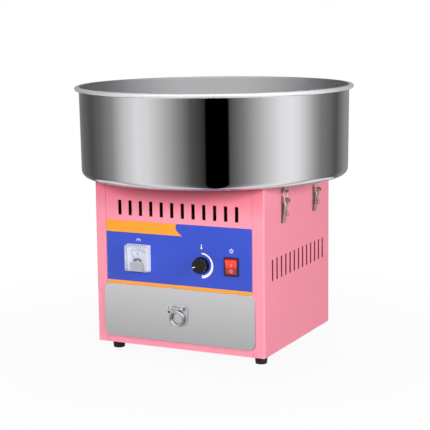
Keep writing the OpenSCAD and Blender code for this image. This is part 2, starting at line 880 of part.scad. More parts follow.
module fuse_holder()
    color(black) on_rear(fuse_x, rear_fittings_z) {
        translate([0, 0, -fuse_depth]) cylinder(r = fuse_thread_r, h = fuse_depth + cut);
        cylinder(r = fuse_flange_r, h = fuse_flange_t);
        cylinder(r = fuse_cap_r, h = fuse_cap_h);
        translate([0, 0, -2 * sheet - locknut_t])
            cylinder(r = fuse_flange_r, h = locknut_t + sheet, $fn = 6);
    }

module cable_gland()
    color(black) on_rear(gland_x, rear_fittings_z) difference() {
        union() {
            translate([0, 0, -gland_thread_depth])
                cylinder(r = gland_thread_r, h = gland_thread_depth + gland_nut_h + cut);
            cylinder(r = gland_nut_r, h = gland_nut_h, $fn = 6);
            translate([0, 0, gland_nut_h]) cylinder(r = gland_cap_r, h = gland_cap_h);
            translate([0, 0, gland_nut_h + gland_cap_h])
                cylinder(r1 = gland_cap_r, r2 = gland_taper_r, h = gland_taper_h);
            translate([0, 0, -sheet - locknut_t - 1]) cylinder(r = gland_nut_r, h = locknut_t + 1, $fn = 6);
        }
        translate([0, 0, -20]) cylinder(r = gland_bore_r, h = 60);
    }

// Drive

module motor_plate()
    color(dark_steel) difference() {
        translate([0, motor_y, motor_top_z])
            rounded_plate(2 * (bush_half_x + motor_plate_edge), 2 * (bush_half_y + motor_plate_edge), 8,
                          motor_plate_t);
        at_bushes() translate([0, 0, -bush_h]) screw_hole(6 * motor_plate_t);
        cylinder(r = housing_r + 3, h = 2 * deck_z);
    }

module motor_bushes()
    color(black) at_bushes() translate([0, 0, -bush_h]) ring_solid(bush_r, screw_r + fit, bush_h);

module motor_body()
    color(grey) translate([0, motor_y, 0]) difference() {
        union() {
            translate([0, 0, motor_low_z]) cylinder(r = motor_r, h = motor_h);
            translate([0, 0, motor_low_z - motor_boss_h])
                cylinder(r = motor_boss_r, h = motor_boss_h + cut);
        }
        translate([0, 0, motor_low_z - 2 * motor_boss_h])
            cylinder(r = motor_shaft_r + fit, h = motor_h);
        for (a = [0:45:315])
            rotate(a) translate([motor_r, 0, motor_low_z + motor_h * 0.3])
                cube([8, 5, motor_h * 0.3], center = true);
    }

module motor_shaft()
    color(steel) translate([0, motor_y, belt_z - pulley_w / 2 - 4])
        cylinder(r = motor_shaft_r,
                 h = motor_low_z - motor_boss_h * 2 + motor_h - seat_gap - belt_z + pulley_w / 2 + 4);

module pulley(seat_r, bore_r)
    rotate_extrude() difference() {
        translate([bore_r, -pulley_w / 2]) square([seat_r + pulley_rim - bore_r, pulley_w]);
        translate([seat_r, -groove_w / 2]) square([pulley_rim + cut, groove_w]);
    }

module motor_pulley()
    color(grey) translate([0, motor_y, belt_z]) pulley(motor_pulley_r, motor_shaft_r);

module driven_pulley()
    color(grey) translate([0, 0, belt_z]) pulley(spindle_pulley_r, spindle_r);

// Two arcs and the straight runs that touch both
module belt_outline(extra) {
    ra = spindle_pulley_r + extra;
    rb = motor_pulley_r + extra;
    lean = asin((ra - rb) / motor_y);
    circle(ra);
    translate([0, motor_y]) circle(rb);
    polygon([[ra * cos(lean), ra * sin(lean)], [rb * cos(lean), motor_y + rb * sin(lean)],
             [-rb * cos(lean), motor_y + rb * sin(lean)], [-ra * cos(lean), ra * sin(lean)]]);
}

module drive_belt()
    color(black) translate([0, 0, belt_z - belt_w / 2]) linear_extrude(belt_w) difference() {
        belt_outline(seat_gap + belt_t);
        belt_outline(seat_gap);
    }

module bearing_housing()
    color(grey) difference() {
        union() {
            translate([0, 0, housing_low_z]) cylinder(r = housing_r, h = housing_h);
            translate([0, 0, under_deck_z - housing_flange_t])
                cylinder(r = housing_flange_r, h = housing_flange_t);
        }
        translate([0, 0, housing_low_z - cut]) cylinder(r = bearing_r - 4, h = housing_h + 2 * cut);
        translate([0, 0, housing_low_z - cut]) cylinder(r = bearing_r, h = bearing_w + cut);
        translate([0, 0, under_deck_z - bearing_w]) cylinder(r = bearing_r, h = bearing_w + cut);
        at_housing_screws() screw_hole(6 * housing_flange_t);
    }

module bearing()
    rotate_extrude() difference() {
        translate([spindle_r + fit, 0]) square([bearing_r - spindle_r - fit, bearing_w]);
        for (z = [-cut, bearing_w - 0.6])
            translate([spindle_r + 2.5, z]) square([bearing_r - spindle_r - 5, 0.6 + cut]);
    }

module spindle_bearings()
    color(steel) {
        translate([0, 0, housing_low_z]) bearing();
        translate([0, 0, under_deck_z - bearing_w]) bearing();
    }

module spindle()
    color(steel) difference() {
        union() {
            translate([0, 0, spindle_low_z]) cylinder(r = spindle_r, h = head_floor_z + 10 - spindle_low_z);
            translate([0, 0, under_deck_z + seat_gap])
                cylinder(r = shoulder_r, h = head_z - under_deck_z - seat_gap - head_hub_h);
        }
        translate([0, 0, spindle_low_z - cut]) cylinder(r = 3, h = head_floor_z - spindle_low_z);
    }

module slip_ring_hub()
    color([0.5, 0.2, 0.12]) translate([0, 0, hub_low_z]) difference() {
        cylinder(r = slip_ring_in_r + 2, h = hub_h);
        translate([0, 0, -cut]) cylinder(r = spindle_r, h = hub_h + 2 * cut);
        for (z = slip_ring_zs)
            translate([0, 0, z - hub_low_z]) ring_solid(slip_ring_in_r + 2 + cut, slip_ring_in_r, slip_ring_h);
    }

module slip_rings()
    color(brass) for (z = slip_ring_zs)
        translate([0, 0, z]) ring_solid(ring_face_r, slip_ring_in_r, slip_ring_h);

module brush_holder()
    color([0.5, 0.2, 0.12]) difference() {
        union() {
            box([holder_x0, -holder_half_w, hub_low_z], [holder_x1, holder_half_w, hub_low_z + hub_h]);
            box([arm_x0, -holder_half_w, hub_low_z + hub_h / 2],
                [arm_x1, holder_half_w, under_deck_z - housing_flange_t]);
        }
        for (z = brush_zs)
            translate([holder_x0, 0, z])
                cube([2 * (brush_x + brush_l - holder_x0), brush_w, brush_h], center = true);
    }

module carbon_brushes()
    color(black) for (z = brush_zs)
        difference() {
            translate([brush_x + brush_l / 2 - cut, 0, z])
                cube([brush_l, brush_w, brush_h], center = true);
            translate([0, 0, z]) cylinder(r = brush_x, h = 2 * brush_h, center = true);
        }

// Spinner head

module head_base()
    color(grey) difference() {
        union() {
            translate([0, 0, head_z - head_hub_h]) cylinder(r = head_hub_r, h = head_hub_h + cut);
            translate([0, 0, head_z]) cylinder(r = head_r, h = head_plate_t + head_rim_h);
        }
        translate([0, 0, head_floor_z]) cylinder(r = head_r - 2, h = head_rim_h + cut);
        translate([0, 0, head_z - head_hub_h - cut])
            cylinder(r = spindle_r, h = head_hub_h + head_plate_t + 2 * cut);
    }

module at_insulators()
    for (a = [30:60:330])
        rotate(a) translate([heater_r + ribbon_t / 2, 0, head_floor_z]) children();

module heater_element()
    color([0.35, 0.28, 0.24]) translate([0, 0, ribbon_z])
        ring_solid(heater_r + ribbon_t, heater_r, ribbon_h);

module heater_insulators()
    color([0.92, 0.9, 0.84]) difference() {
        at_insulators() cylinder(r = 3, h = band_h - 6);
        translate([0, 0, ribbon_z]) ring_solid(heater_r + ribbon_t, heater_r, band_h);
    }

module mesh_band()
    color(steel) difference() {
        translate([0, 0, head_floor_z]) ring_solid(band_r + band_t, band_r, band_h);
        for (i = [0:band_slots - 1])
            rotate(i * 360 / band_slots) translate([band_r, 0, head_floor_z + band_h / 2])
                cube([6 * band_t, 2, band_h - 12], center = true);
    }

module head_lid()
    color(grey) translate([0, 0, lid_z]) difference() {
        union() {
            cylinder(r = head_r, h = lid_t);
            translate([0, 0, -10]) cylinder(r = fill_r + 2, h = 12);
        }
        translate([0, 0, -11]) cylinder(r = fill_r, h = 20);
        translate([0, 0, lid_t - 2]) cylinder(r1 = fill_r, r2 = fill_r + 2, h = 2.01);
        for (a = [0:120:240])
            rotate(a) translate([head_screw_ring_r, 0, 0]) screw_hole(4 * lid_t);
    }

module head_fasteners()
    color(steel) {
        for (a = [0:120:240])
            rotate(a) translate([head_screw_ring_r, 0, lid_z + lid_t]) screw(band_h + lid_t);
        translate([0, 0, head_floor_z]) difference() {
            cylinder(r = 13, h = 7, $fn = 6);
            translate([0, 0, -cut]) cylinder(r = spindle_r, h = 10);
        }
    }

// Bowl

module bowl_profile() {
    corner_x = wall_low_r - bowl_corner_r;
    top_z = bowl_h - bead_r;
    translate([bowl_hole_r, 0]) square([corner_x - bowl_hole_r, bowl_t]);
    translate([bowl_hole_r, 0]) square([bowl_t, bowl_collar_h]);
    intersection() {
        translate([corner_x, bowl_corner_r]) difference() {
            circle(bowl_corner_r);
            circle(bowl_corner_r - bowl_t);
        }
        translate([corner_x, 0]) square([bowl_corner_r, bowl_corner_r]);
    }
    polygon([[wall_low_r - bowl_t, bowl_corner_r], [wall_low_r, bowl_corner_r],
             [wall_top_r, bowl_h], [wall_top_r - bowl_t, bowl_h]]);
    translate([wall_top_r - bowl_t, bowl_h - bowl_t]) square([bead_x - wall_top_r + bowl_t, bowl_t]);
    translate([bead_x, top_z]) circle(bead_r);
}

module at_latches()
    for (side = [-1, 1], end = [-1, 1])
        on_side(side, end * latch_y) children();

module bowl()
    color(steel) difference() {
        translate([0, 0, bowl_z]) rotate_extrude($fn = 128) bowl_profile();
        at_latches() translate([catch_rivet_out, 0, bowl_z]) cylinder(r = catch_rivet_r, h = 6, center = true);
    }

module bowl_catch() {
    box([catch_out, -catch_half_w, cup_z], [catch_out + catch_t, catch_half_w, bowl_z]);
    box([catch_out, -catch_half_w, cup_z],
        [catch_out + 2 * catch_t + cup_w, catch_half_w, cup_z + catch_t]);
    box([catch_out + catch_t + cup_w, -catch_half_w, cup_z],
        [catch_out + 2 * catch_t + cup_w, catch_half_w, cup_z + catch_t + cup_lip_h]);
    box([catch_out, -catch_tab_half_w, bowl_z - catch_t], [catch_tab_out, catch_tab_half_w, bowl_z]);
    translate([catch_rivet_out, 0, bowl_z - catch_t]) cylinder(r = catch_rivet_r, h = catch_t + bowl_t + 0.5);
    translate([catch_rivet_out, 0, bowl_z + bowl_t]) cylinder(r = 4, h = 1);
}

module bowl_catches() color(dark_steel) at_latches() bowl_catch();

// Latches: local X outwards from the side panel, Z up

module latch_base() {
    box([0, -latch_plate_half_w, latch_z - lever_l], [latch_plate_t, latch_plate_half_w, latch_z + 7]);
    for (side = [0, 1]) mirror([0, side, 0]) {
        translate([0, lever_w / 2 + ear_gap, latch_z - ear_r]) cube([latch_stand, ear_t, 2 * ear_r]);
        translate([latch_stand, lever_w / 2 + ear_gap + ear_t / 2, latch_z])
            cross_cylinder(ear_r, ear_t / 2);
    }
    translate([latch_stand, 0, latch_z])
        cross_cylinder(latch_pin_r, lever_w / 2 + ear_gap + ear_t / 2);
    translate([0, 0, latch_z - eye_drop]) rotate([0, 90, 0])
        cylinder(r = eye_wire_r, h = eye_out - eye_r + 2 * eye_wire_r);
    translate([eye_out, 0, latch_z - eye_drop]) rotate([90, 0, 0])
        rotate_extrude() translate([eye_r - eye_wire_r, 0]) circle(eye_wire_r);
}

module latch_bases() color(dark_steel) at_latches() latch_base();

// Seen from outside: a strap between the ears that widens into the blade, up along Y
module lever_outline() {
    strap_w = lever_w - 0.6;
    translate([-strap_w / 2, -blade_drop - cut]) square([strap_w, blade_drop + cut]);
    translate([0, -(blade_drop + lever_l) / 2]) rounded_rect(blade_w, lever_l - blade_drop, blade_corner_r);
}

module latch_lever(side, end)
    color(steel) on_side(side, end * latch_y) difference() {
        union() {
            translate([latch_stand, 0, latch_z]) {
                cross_cylinder(knuckle_r, lever_w / 2);
                rotate([0, lever_lean, 0]) rotate([90, 0, 90])
                    translate([0, 0, -lever_t / 2]) linear_extrude(lever_t) lever_outline();
            }
            translate([bail_out, 0, bail_z]) cross_cylinder(bail_wire_r + 1.2, lever_w / 2);
        }
        translate([latch_stand, 0, latch_z]) {
            cross_cylinder(latch_pin_r + fit, lever_w);
            rotate([0, lever_lean, 0]) translate([0, 0, -eye_drop])
                cube([6, 4 * eye_wire_r, 3 * eye_r], center = true);
        }
        translate([bail_out, 0, bail_z]) cross_cylinder(bail_wire_r + fit, lever_w);
    }

// A bent wire loop in the YZ plane, from Z 0 up to Z l, with its rungs along Y
module wire_loop(r, half_width, l) {
    for (z = [0, l])
        translate([0, 0, z]) cross_cylinder(r, half_width - bail_bend_r);
    for (side = [0, 1]) mirror([0, side, 0]) {
        translate([0, half_width, bail_bend_r]) cylinder(r = r, h = l - 2 * bail_bend_r);
        translate([0, half_width - bail_bend_r, l - bail_bend_r]) wire_corner(r);
        translate([0, half_width - bail_bend_r, bail_bend_r]) mirror([0, 0, 1]) wire_corner(r);
    }
}

module wire_corner(r)
    rotate([90, 0, 90]) rotate_extrude(angle = 90) translate([bail_bend_r, 0]) circle(r);

module latch_bail(side, end)
    color(dark_steel) on_side(side, end * latch_y) translate([bail_out, 0, bail_z])
        rotate([0, -atan((bail_out - bar_out) / (bar_z - bail_z)), 0])
            wire_loop(bail_wire_r, bail_half_w, norm([bail_out - bar_out, bar_z - bail_z]));

module latch_lever_front_left() latch_lever(-1, -1);
module latch_lever_rear_left() latch_lever(-1, 1);
module latch_lever_front_right() latch_lever(1, -1);
module latch_lever_rear_right() latch_lever(1, 1);
module latch_bail_front_left() latch_bail(-1, -1);
module latch_bail_rear_left() latch_bail(-1, 1);
module latch_bail_front_right() latch_bail(1, -1);
module latch_bail_rear_right() latch_bail(1, 1);

side_panel_left();
side_panel_right();
front_panel();
rear_panel();
base_plate();
top_deck();
control_overlay();
machine_screws();
feet();
drawer_runners();
meter_case();
meter_dial();
meter_needle();
meter_pivot_cover();
meter_lens();
temperature_knob();
potentiometer();
potentiometer_shaft();
switch_body();
switch_rocker();
regulator_board();
heatsink();
fuse_holder();
cable_gland();
drawer_front();
drawer_tray();
pull_plate();
pull_ring();
motor_body();
motor_plate();
motor_bushes();
motor_shaft();
motor_pulley();
drive_belt();
bearing_housing();
spindle_bearings();
spindle();
driven_pulley();
slip_ring_hub();
slip_rings();
brush_holder();
carbon_brushes();
head_base();
heater_element();
heater_insulators();
mesh_band();
head_lid();
head_fasteners();
bowl();
bowl_catches();
latch_bases();
latch_lever_front_left();
latch_lever_rear_left();
latch_lever_front_right();
latch_lever_rear_right();
latch_bail_front_left();
latch_bail_rear_left();
latch_bail_front_right();
latch_bail_rear_right();
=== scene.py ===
# %% [markdown]
# # A table-top candy floss machine
#
# This lesson dresses a finished CAD model: a pink sheet steel cabinet with a printed control panel and
# a drawer, and a wide polished bowl held down by toggle latches. The CAD gives every piece its exact
# place, so nothing here has to be fitted by eye. What Blender adds is what a CAD solid lacks: soft
# edges, finishes, print, and the small parts that repeat.
#
# The first cell loads the CAD model and keeps its box, because the dressed model may not outgrow it.
# Sizes are in metres, as in the frame. Where a comment says millimetres, MM turns them into metres.

# %% Load the model
import json
import math

import bmesh
import bpy
from mathutils import Matrix, Vector


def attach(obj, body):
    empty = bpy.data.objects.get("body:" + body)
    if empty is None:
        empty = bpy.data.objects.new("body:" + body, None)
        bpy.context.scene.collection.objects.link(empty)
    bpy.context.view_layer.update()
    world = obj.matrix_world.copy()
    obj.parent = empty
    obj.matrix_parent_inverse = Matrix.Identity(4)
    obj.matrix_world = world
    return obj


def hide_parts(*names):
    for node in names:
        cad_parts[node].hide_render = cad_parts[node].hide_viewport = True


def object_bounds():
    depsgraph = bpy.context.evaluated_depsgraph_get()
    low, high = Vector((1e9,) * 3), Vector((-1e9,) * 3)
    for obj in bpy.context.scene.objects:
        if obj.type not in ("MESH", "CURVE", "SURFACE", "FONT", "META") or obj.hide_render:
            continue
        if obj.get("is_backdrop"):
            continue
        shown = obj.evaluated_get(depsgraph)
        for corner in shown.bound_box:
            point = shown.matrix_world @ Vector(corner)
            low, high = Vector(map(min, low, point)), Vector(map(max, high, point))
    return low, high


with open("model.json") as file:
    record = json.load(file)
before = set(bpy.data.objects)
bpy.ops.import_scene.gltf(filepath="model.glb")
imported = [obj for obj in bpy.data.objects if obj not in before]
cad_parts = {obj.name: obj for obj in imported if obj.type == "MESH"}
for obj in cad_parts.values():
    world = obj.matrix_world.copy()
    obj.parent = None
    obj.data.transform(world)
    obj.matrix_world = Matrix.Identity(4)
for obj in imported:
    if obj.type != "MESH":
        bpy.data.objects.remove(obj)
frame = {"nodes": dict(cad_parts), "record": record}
cad_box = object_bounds()
scene = bpy.context.scene
MM = 0.001

# %% [markdown]
# ## The camera
#
# A product photograph is taken from a few metres away with a long lens, which keeps upright edges
# nearly parallel. The camera stands 26 degrees to the right of the front and 9 degrees up, and it is
# rolled by less than a degree. Its three axes are worked out from those angles, which is more exact
# than aiming it with a constraint.

# %% Set the camera
CAMERA_TURN = math.radians(26.07)
CAMERA_RISE = math.radians(9.23)
CAMERA_ROLL = math.radians(-0.67)
CAMERA_AWAY = 2.5139
AIM_RIGHT = -0.00086
AIM_HEIGHT = 0.24271
SENSOR = 36.0
LENS = 110.9

towards_camera = Vector((math.sin(CAMERA_TURN) * math.cos(CAMERA_RISE),
                         -math.cos(CAMERA_TURN) * math.cos(CAMERA_RISE), math.sin(CAMERA_RISE)))
camera_right = Vector((math.cos(CAMERA_TURN), math.sin(CAMERA_TURN), 0))
camera_up = towards_camera.cross(camera_right)
camera_place = camera_right * AIM_RIGHT + Vector((0, 0, AIM_HEIGHT)) + towards_camera * CAMERA_AWAY
camera_axes = Matrix((camera_right, camera_up, towards_camera)).transposed()

camera_data = bpy.data.cameras.new("photo_camera")
camera_data.sensor_width = SENSOR
camera_data.lens = LENS
camera = bpy.data.objects.new("photo_camera", camera_data)
camera.matrix_world = (Matrix.Translation(camera_place) @ camera_axes.to_4x4()
                       @ Matrix.Rotation(CAMERA_ROLL, 4, "Z"))
scene.collection.objects.link(camera)
scene.camera = camera
scene.view_settings.view_transform = "Standard"
print("camera at", [round(v, 3) for v in camera_place])

# %% [markdown]
# ## Shader maths as Python
#
# A printed panel or a brushed sheet is a pattern, and a pattern is a sum: how far is this point from
# that line? Wiring such sums by hand takes dozens of Math nodes. The class below wraps a socket and
# adds a Math node for each Python operator, so a pattern reads as an ordinary expression. Every other
# kind of node comes from one function, which sets the node's own settings first and its sockets next.

# %% Expressions that add nodes
def add_node(tree, kind, settings=None, inputs=None):
    """Adds a node, with its settings, and values or links for its sockets."""
    node = tree.nodes.new(kind)
    for name, value in (settings or {}).items():
        if name != "stops":
            setattr(node, name, value)
            continue
        elements = node.color_ramp.elements
        while len(elements) < len(value):
            elements.new(0.5)
        for element, (position, level) in zip(elements, value):
            element.position = position
            element.color = (level, level, level, 1)
    for name, value in (inputs or {}).items():
        if isinstance(value, Amount):
            tree.links.new(value.socket, node.inputs[name])
        elif isinstance(value, bpy.types.NodeSocket):
            tree.links.new(value, node.inputs[name])
        else:
            node.inputs[name].default_value = value
    return node


class Amount:
    """A number in a shader. Python's operators on it add Math nodes."""

    def __init__(self, tree, socket):
        self.tree = tree
        self.socket = socket

    def maths(self, operation, *others, clamp=False):
        """Adds one Math node, with this number first, and gives what comes out."""
        inputs = dict(enumerate([self, *others]))
        node = add_node(self.tree, "ShaderNodeMath", {"operation": operation, "use_clamp": clamp}, inputs)
        return Amount(self.tree, node.outputs[0])

    def __add__(self, other):
        return self.maths("ADD", other)

    __radd__ = __add__

    def __sub__(self, other):
        return self.maths("SUBTRACT", other)

    def __rsub__(self, other):
        return (self * -1) + other

    def __mul__(self, other):
        return self.maths("MULTIPLY", other)

    __rmul__ = __mul__

    def __truediv__(self, other):
        return self.maths("DIVIDE", other)

    def __abs__(self):
        return self.maths("ABSOLUTE")

    def larger(self, other):
        return self.maths("MAXIMUM", other)

    def smaller(self, other):
        return self.maths("MINIMUM", other)

    def length(self, other):
        """The long side of a right-angled triangle on these two sides."""
        return (self * self + other * other).maths("SQRT")

    def angle(self, other):
        """The angle whose tangent is self / other."""
        return self.maths("ARCTAN2", other)

    def nearest(self, step):
        """How far this is from the nearest whole multiple of step."""
        return self.maths("PINGPONG", step / 2)

    def above(self, level, soft):
        """0 below the level and 1 above it, with a soft edge."""
        return ((self - level) / soft).maths("ADD", 0.5, clamp=True)

    def below(self, level, soft):
        """1 below the level and 0 above it."""
        return 1 - self.above(level, soft)


def colour(red, green, blue):
    """A colour as it is seen on screen, from 0 to 255, turned into light levels."""
    return tuple((c / 255 / 12.92 if c / 255 < 0.04045 else ((c / 255 + 0.055) / 1.055) ** 2.4)
                 for c in (red, green, blue)) + (1.0,)


# %% [markdown]
# ## The studio
#
# A polished bowl has hardly any colour of its own: it shows the room. Photographers put large white
# cards beside such a bowl, with a narrow dark gap where the camera looks through, and the bowl shows
# them as upright bands. The world does the same here. A reflected ray reads how bright the studio is in
# its direction, from a ramp round the horizon. Higher up it meets a ceiling that is lighter towards the
# camera, and a card above the camera lights the inside of the far wall. Low down, a ray that leaves
# backwards meets the bands in front too, so that they run on to the bowl's bottom edge. The price is a
# narrow fan on the bowl, where the two meet, seen from behind and above. Other rays meet one plain
# level, so that paint and print render about as their colours are written.

# %% Light the studio
PLAIN_LIGHT = 0.18
TOP_CARD = 1.2
CARD_FORWARD = 0.62
CARD_RISE = 0.12
CEILING_RISE = 0.30
LOW_RISE = -0.45
# Angle from the camera's side of the bowl, and how bright the studio is there
STUDIO_BANDS = [(-180, 0.34), (-150, 0.16), (-128, 0.09), (-112, 0.16), (-96, 0.31), (-82, 0.68),
                (-68, 0.93), (-57, 0.86), (-44, 0.60), (-30, 0.30), (-20, 0.11), (-7.7, 0.03),
                (-7.2, 0.0), (11.9, 0.0), (12.4, 0.09), (24, 0.25), (44, 0.70), (56, 0.95),
                (67, 1.03), (75, 0.93), (92, 0.43), (101, 0.25), (125, 0.10), (146, 0.30), (180, 0.34)]

world = bpy.data.worlds.new("studio")
scene.world = world
world.use_nodes = True
studio = world.node_tree
studio.nodes.clear()
direction = add_node(studio, "ShaderNodeTexCoord").outputs["Generated"]
parts = add_node(studio, "ShaderNodeSeparateXYZ", inputs={0: direction})
east, north, rise = (Amount(studio, s) for s in parts.outputs)
sideways = east * math.cos(CAMERA_TURN) + north * math.sin(CAMERA_TURN)
forwards = east * math.sin(CAMERA_TURN) - north * math.cos(CAMERA_TURN)
low_down = rise.below(LOW_RISE, 0.2)
facing_front = forwards * (1 - low_down) + abs(forwards) * low_down
round_horizon = sideways.angle(facing_front) / math.tau + 0.5
bands = add_node(studio, "ShaderNodeValToRGB",
                 {"stops": [(a / 360 + 0.5, level) for a, level in STUDIO_BANDS]}, {0: round_horizon})
overhead = rise.above(CEILING_RISE, 0.35)
ceiling = (rise * 0.6 + forwards * 0.7 + 0.25).larger(0.1).smaller(1.05)
top_card = forwards.above(CARD_FORWARD, 0.6) * rise.above(CARD_RISE, 0.14)
mirrored = (Amount(studio, bands.outputs[0]) * (1 - overhead)
            + overhead * ceiling + top_card * TOP_CARD)
ray = add_node(studio, "ShaderNodeLightPath").outputs
is_seen = Amount(studio, ray["Is Camera Ray"]).larger(Amount(studio, ray["Is Transmission Ray"]))
is_mirrored = Amount(studio, ray["Is Glossy Ray"]) * (1 - is_seen)
strength = is_seen + is_mirrored * mirrored + (1 - is_seen.larger(is_mirrored)) * PLAIN_LIGHT
lit = add_node(studio, "ShaderNodeBackground", inputs={"Color": (1, 1, 1, 1), "Strength": strength})
add_node(studio, "ShaderNodeOutputWorld", inputs={"Surface": lit.outputs[0]})
print("stops in the studio's ramp:", len(STUDIO_BANDS))

# %% Set up the lamps
LAMP_AWAY = 2.4
LAMP_AIM = 0.2


def softbox(name, turn_deg, rise_deg, size, watts):
    """A square area lamp that looks at the middle of the machine from a turn and a rise."""
    a, e = math.radians(turn_deg), math.radians(rise_deg)
    back = Vector((math.sin(a) * math.cos(e), -math.cos(a) * math.cos(e), math.sin(e)))
    data = bpy.data.lights.new(name, "AREA")
    data.size = size
    data.energy = watts
    lamp = bpy.data.objects.new(name, data)
    lamp.location = Vector((0, 0, LAMP_AIM)) + back * LAMP_AWAY
    lamp.rotation_euler = back.to_track_quat("Z", "Y").to_euler()
    lamp.visible_glossy = False
    scene.collection.objects.link(lamp)


softbox("softbox_front", 6, 20, 0.65, 35)
softbox("softbox_right", 72, 18, 0.7, 35)
softbox("softbox_rear", 192, 22, 1.0, 30)
softbox("softbox_left", -104, 22, 1.0, 30)
print("lamps:", len(bpy.data.lights))

# %% [markdown]
# ## The floor
#
# The photograph has no visible floor, only white. A floor is still needed, or the machine would float
# and lose the light that bounces up. For the camera it is nearly all lit by itself, so that only a faint
# shadow stays near the feet, and further out it fades into the white of the background. For all other
# rays it is a mid grey, because a white floor would light the underside of the bowl too much.

# %% Lay the floor
FLOOR_RADIUS = 1.3
FADE_FROM = 0.30
FADE_TO = 0.75
SHADOW_LIFT = 0.94
FLOOR_GREY = (0.5, 0.5, 0.5, 1)

floor_mesh = bmesh.new()
bmesh.ops.create_circle(floor_mesh, cap_ends=True, segments=96, radius=FLOOR_RADIUS)
floor_data = bpy.data.meshes.new("floor")
floor_mesh.to_mesh(floor_data)
floor_mesh.free()
floor = bpy.data.objects.new("floor", floor_data)
scene.collection.objects.link(floor)
floor.visible_glossy = False
floor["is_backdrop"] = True

pale = bpy.data.materials.new("pale_floor")
pale.use_nodes = True
floor_tree = pale.node_tree
floor_tree.nodes.clear()
where = add_node(floor_tree, "ShaderNodeTexCoord").outputs["Object"]
from_middle = add_node(floor_tree, "ShaderNodeVectorMath", {"operation": "LENGTH"}, {0: where})
away = Amount(floor_tree, from_middle.outputs["Value"])
fade = away.above((FADE_FROM + FADE_TO) / 2, FADE_TO - FADE_FROM)
seen = Amount(floor_tree, add_node(floor_tree, "ShaderNodeLightPath").outputs["Is Camera Ray"])
matt = add_node(floor_tree, "ShaderNodeBsdfDiffuse", inputs={"Color": FLOOR_GREY})
glow = add_node(floor_tree, "ShaderNodeEmission", inputs={"Color": (1, 1, 1, 1)})
share = seen * (fade * (1 - SHADOW_LIFT) + SHADOW_LIFT)
mixed = add_node(floor_tree, "ShaderNodeMixShader", inputs={
    0: share, 1: matt.outputs[0], 2: glow.outputs[0]})
add_node(floor_tree, "ShaderNodeOutputMaterial", inputs={"Surface": mixed.outputs[0]})
floor_data.materials.append(pale)
print("floor fades from", FADE_FROM, "to", FADE_TO, "m")

# %% [markdown]
# ## Finishes
#
# Every finish starts from the Principled shader and from Object coordinates, which are metres in the
# machine's own frame. Real surfaces are never one flat colour, so each finish gets a fine grain in its
# bump, a little change in its roughness, and a slow drift in its colour. The grain can be stretched
# along one axis, which is all that a brushed sheet is.

# %% The Finish class
class Finish:
    """A material with a Principled shader and helpers for patterns in Object coordinates."""

    def __init__(self, name, base, rough=0.5, metal=0.0, **fixed):
        self.material = bpy.data.materials.new(name)
        self.material.use_nodes = True
        self.tree = self.material.node_tree
        self.tree.nodes.clear()
        self.base = base
        self.shader = add_node(self.tree, "ShaderNodeBsdfPrincipled", inputs={
            "Base Color": base, "Roughness": rough, "Metallic": metal, **fixed})
        add_node(self.tree, "ShaderNodeOutputMaterial", inputs={"Surface": self.shader.outputs[0]})
        self.place = add_node(self.tree, "ShaderNodeTexCoord").outputs["Object"]
        split = add_node(self.tree, "ShaderNodeSeparateXYZ", inputs={0: self.place})
        self.x, self.y, self.z = (Amount(self.tree, s) for s in split.outputs)

    def noise(self, grain, stretch=(1, 1, 1), detail=2.0):
        """A noise pattern with lumps about as large as grain, in metres."""
        moved = add_node(self.tree, "ShaderNodeMapping", inputs={
            "Vector": self.place, "Scale": tuple(1 / (grain * s) for s in stretch)})
        made = add_node(self.tree, "ShaderNodeTexNoise", inputs={
            "Vector": moved.outputs[0], "Scale": 1.0, "Detail": detail})
        return Amount(self.tree, made.outputs["Fac"])

    def blend(self, share, under, over):
        """One colour over another by a share from 0 to 1."""
        # Among the node's sockets, 6 and 7 are its two colours, and output 2 is the mixed one
        made = add_node(self.tree, "ShaderNodeMix", {"data_type": "RGBA"}, {0: share, 6: under, 7: over})
        return made.outputs[2]

    def link(self, socket, value):
        """Links a number or a colour to one of the shader's sockets."""
        source = value.socket if isinstance(value, Amount) else value
        self.tree.links.new(source, self.shader.inputs[socket])

    def drift(self, amount, grain=0.06, stretch=(1, 1, 1)):
        """Lets the base colour drift a little darker and lighter."""
        dark = tuple(c * (1 - amount) for c in self.base[:3]) + (1,)
        pale_tone = tuple(min(1, c * (1 + amount)) for c in self.base[:3]) + (1,)
        self.link("Base Color", self.blend(self.noise(grain, stretch), dark, pale_tone))
        return self

    def wear(self, level, spread, grain=0.02, stretch=(1, 1, 1)):
        """Roughness that changes round a level, as handling and polishing leave it."""
        self.link("Roughness", self.noise(grain, stretch, 4.0) * (2 * spread) + (level - spread))
        return self

    def bump(self, height, depth, strength=1.0):
        """Raises the surface by a height from 0 to 1, depth metres tall."""
        made = add_node(self.tree, "ShaderNodeBump", inputs={
            "Height": height, "Distance": depth, "Strength": strength})
        self.link("Normal", made.outputs[0])
        return self

    def reach(self, across, up):
        """Distance from one point of a front face, seen square on."""
        return (self.x - across).length(self.z - up)

    def ring(self, across, up, radius, half_width, soft):
        """A mask over a ring on a front face."""
        return abs(self.reach(across, up) - radius).below(half_width, soft)

    def bar(self, across, up, half_width, half_height, soft):
        """A mask over an upright bar on a front face."""
        outside = (abs(self.x - across) - half_width).larger(abs(self.z - up) - half_height)
        return outside.below(0.0, soft)


def shade(name, base, rough, metal=0.0, grain=0.0006, depth=0.00002, stretch=(1, 1, 1), drift=0.05,
          spread=0.06, **fixed):
    """A finish with all three kinds of change, for plain parts."""
    made = Finish(name, base, rough, metal, **fixed)
    made.drift(drift).wear(rough, spread).bump(made.noise(grain, stretch), depth)
    return made.material
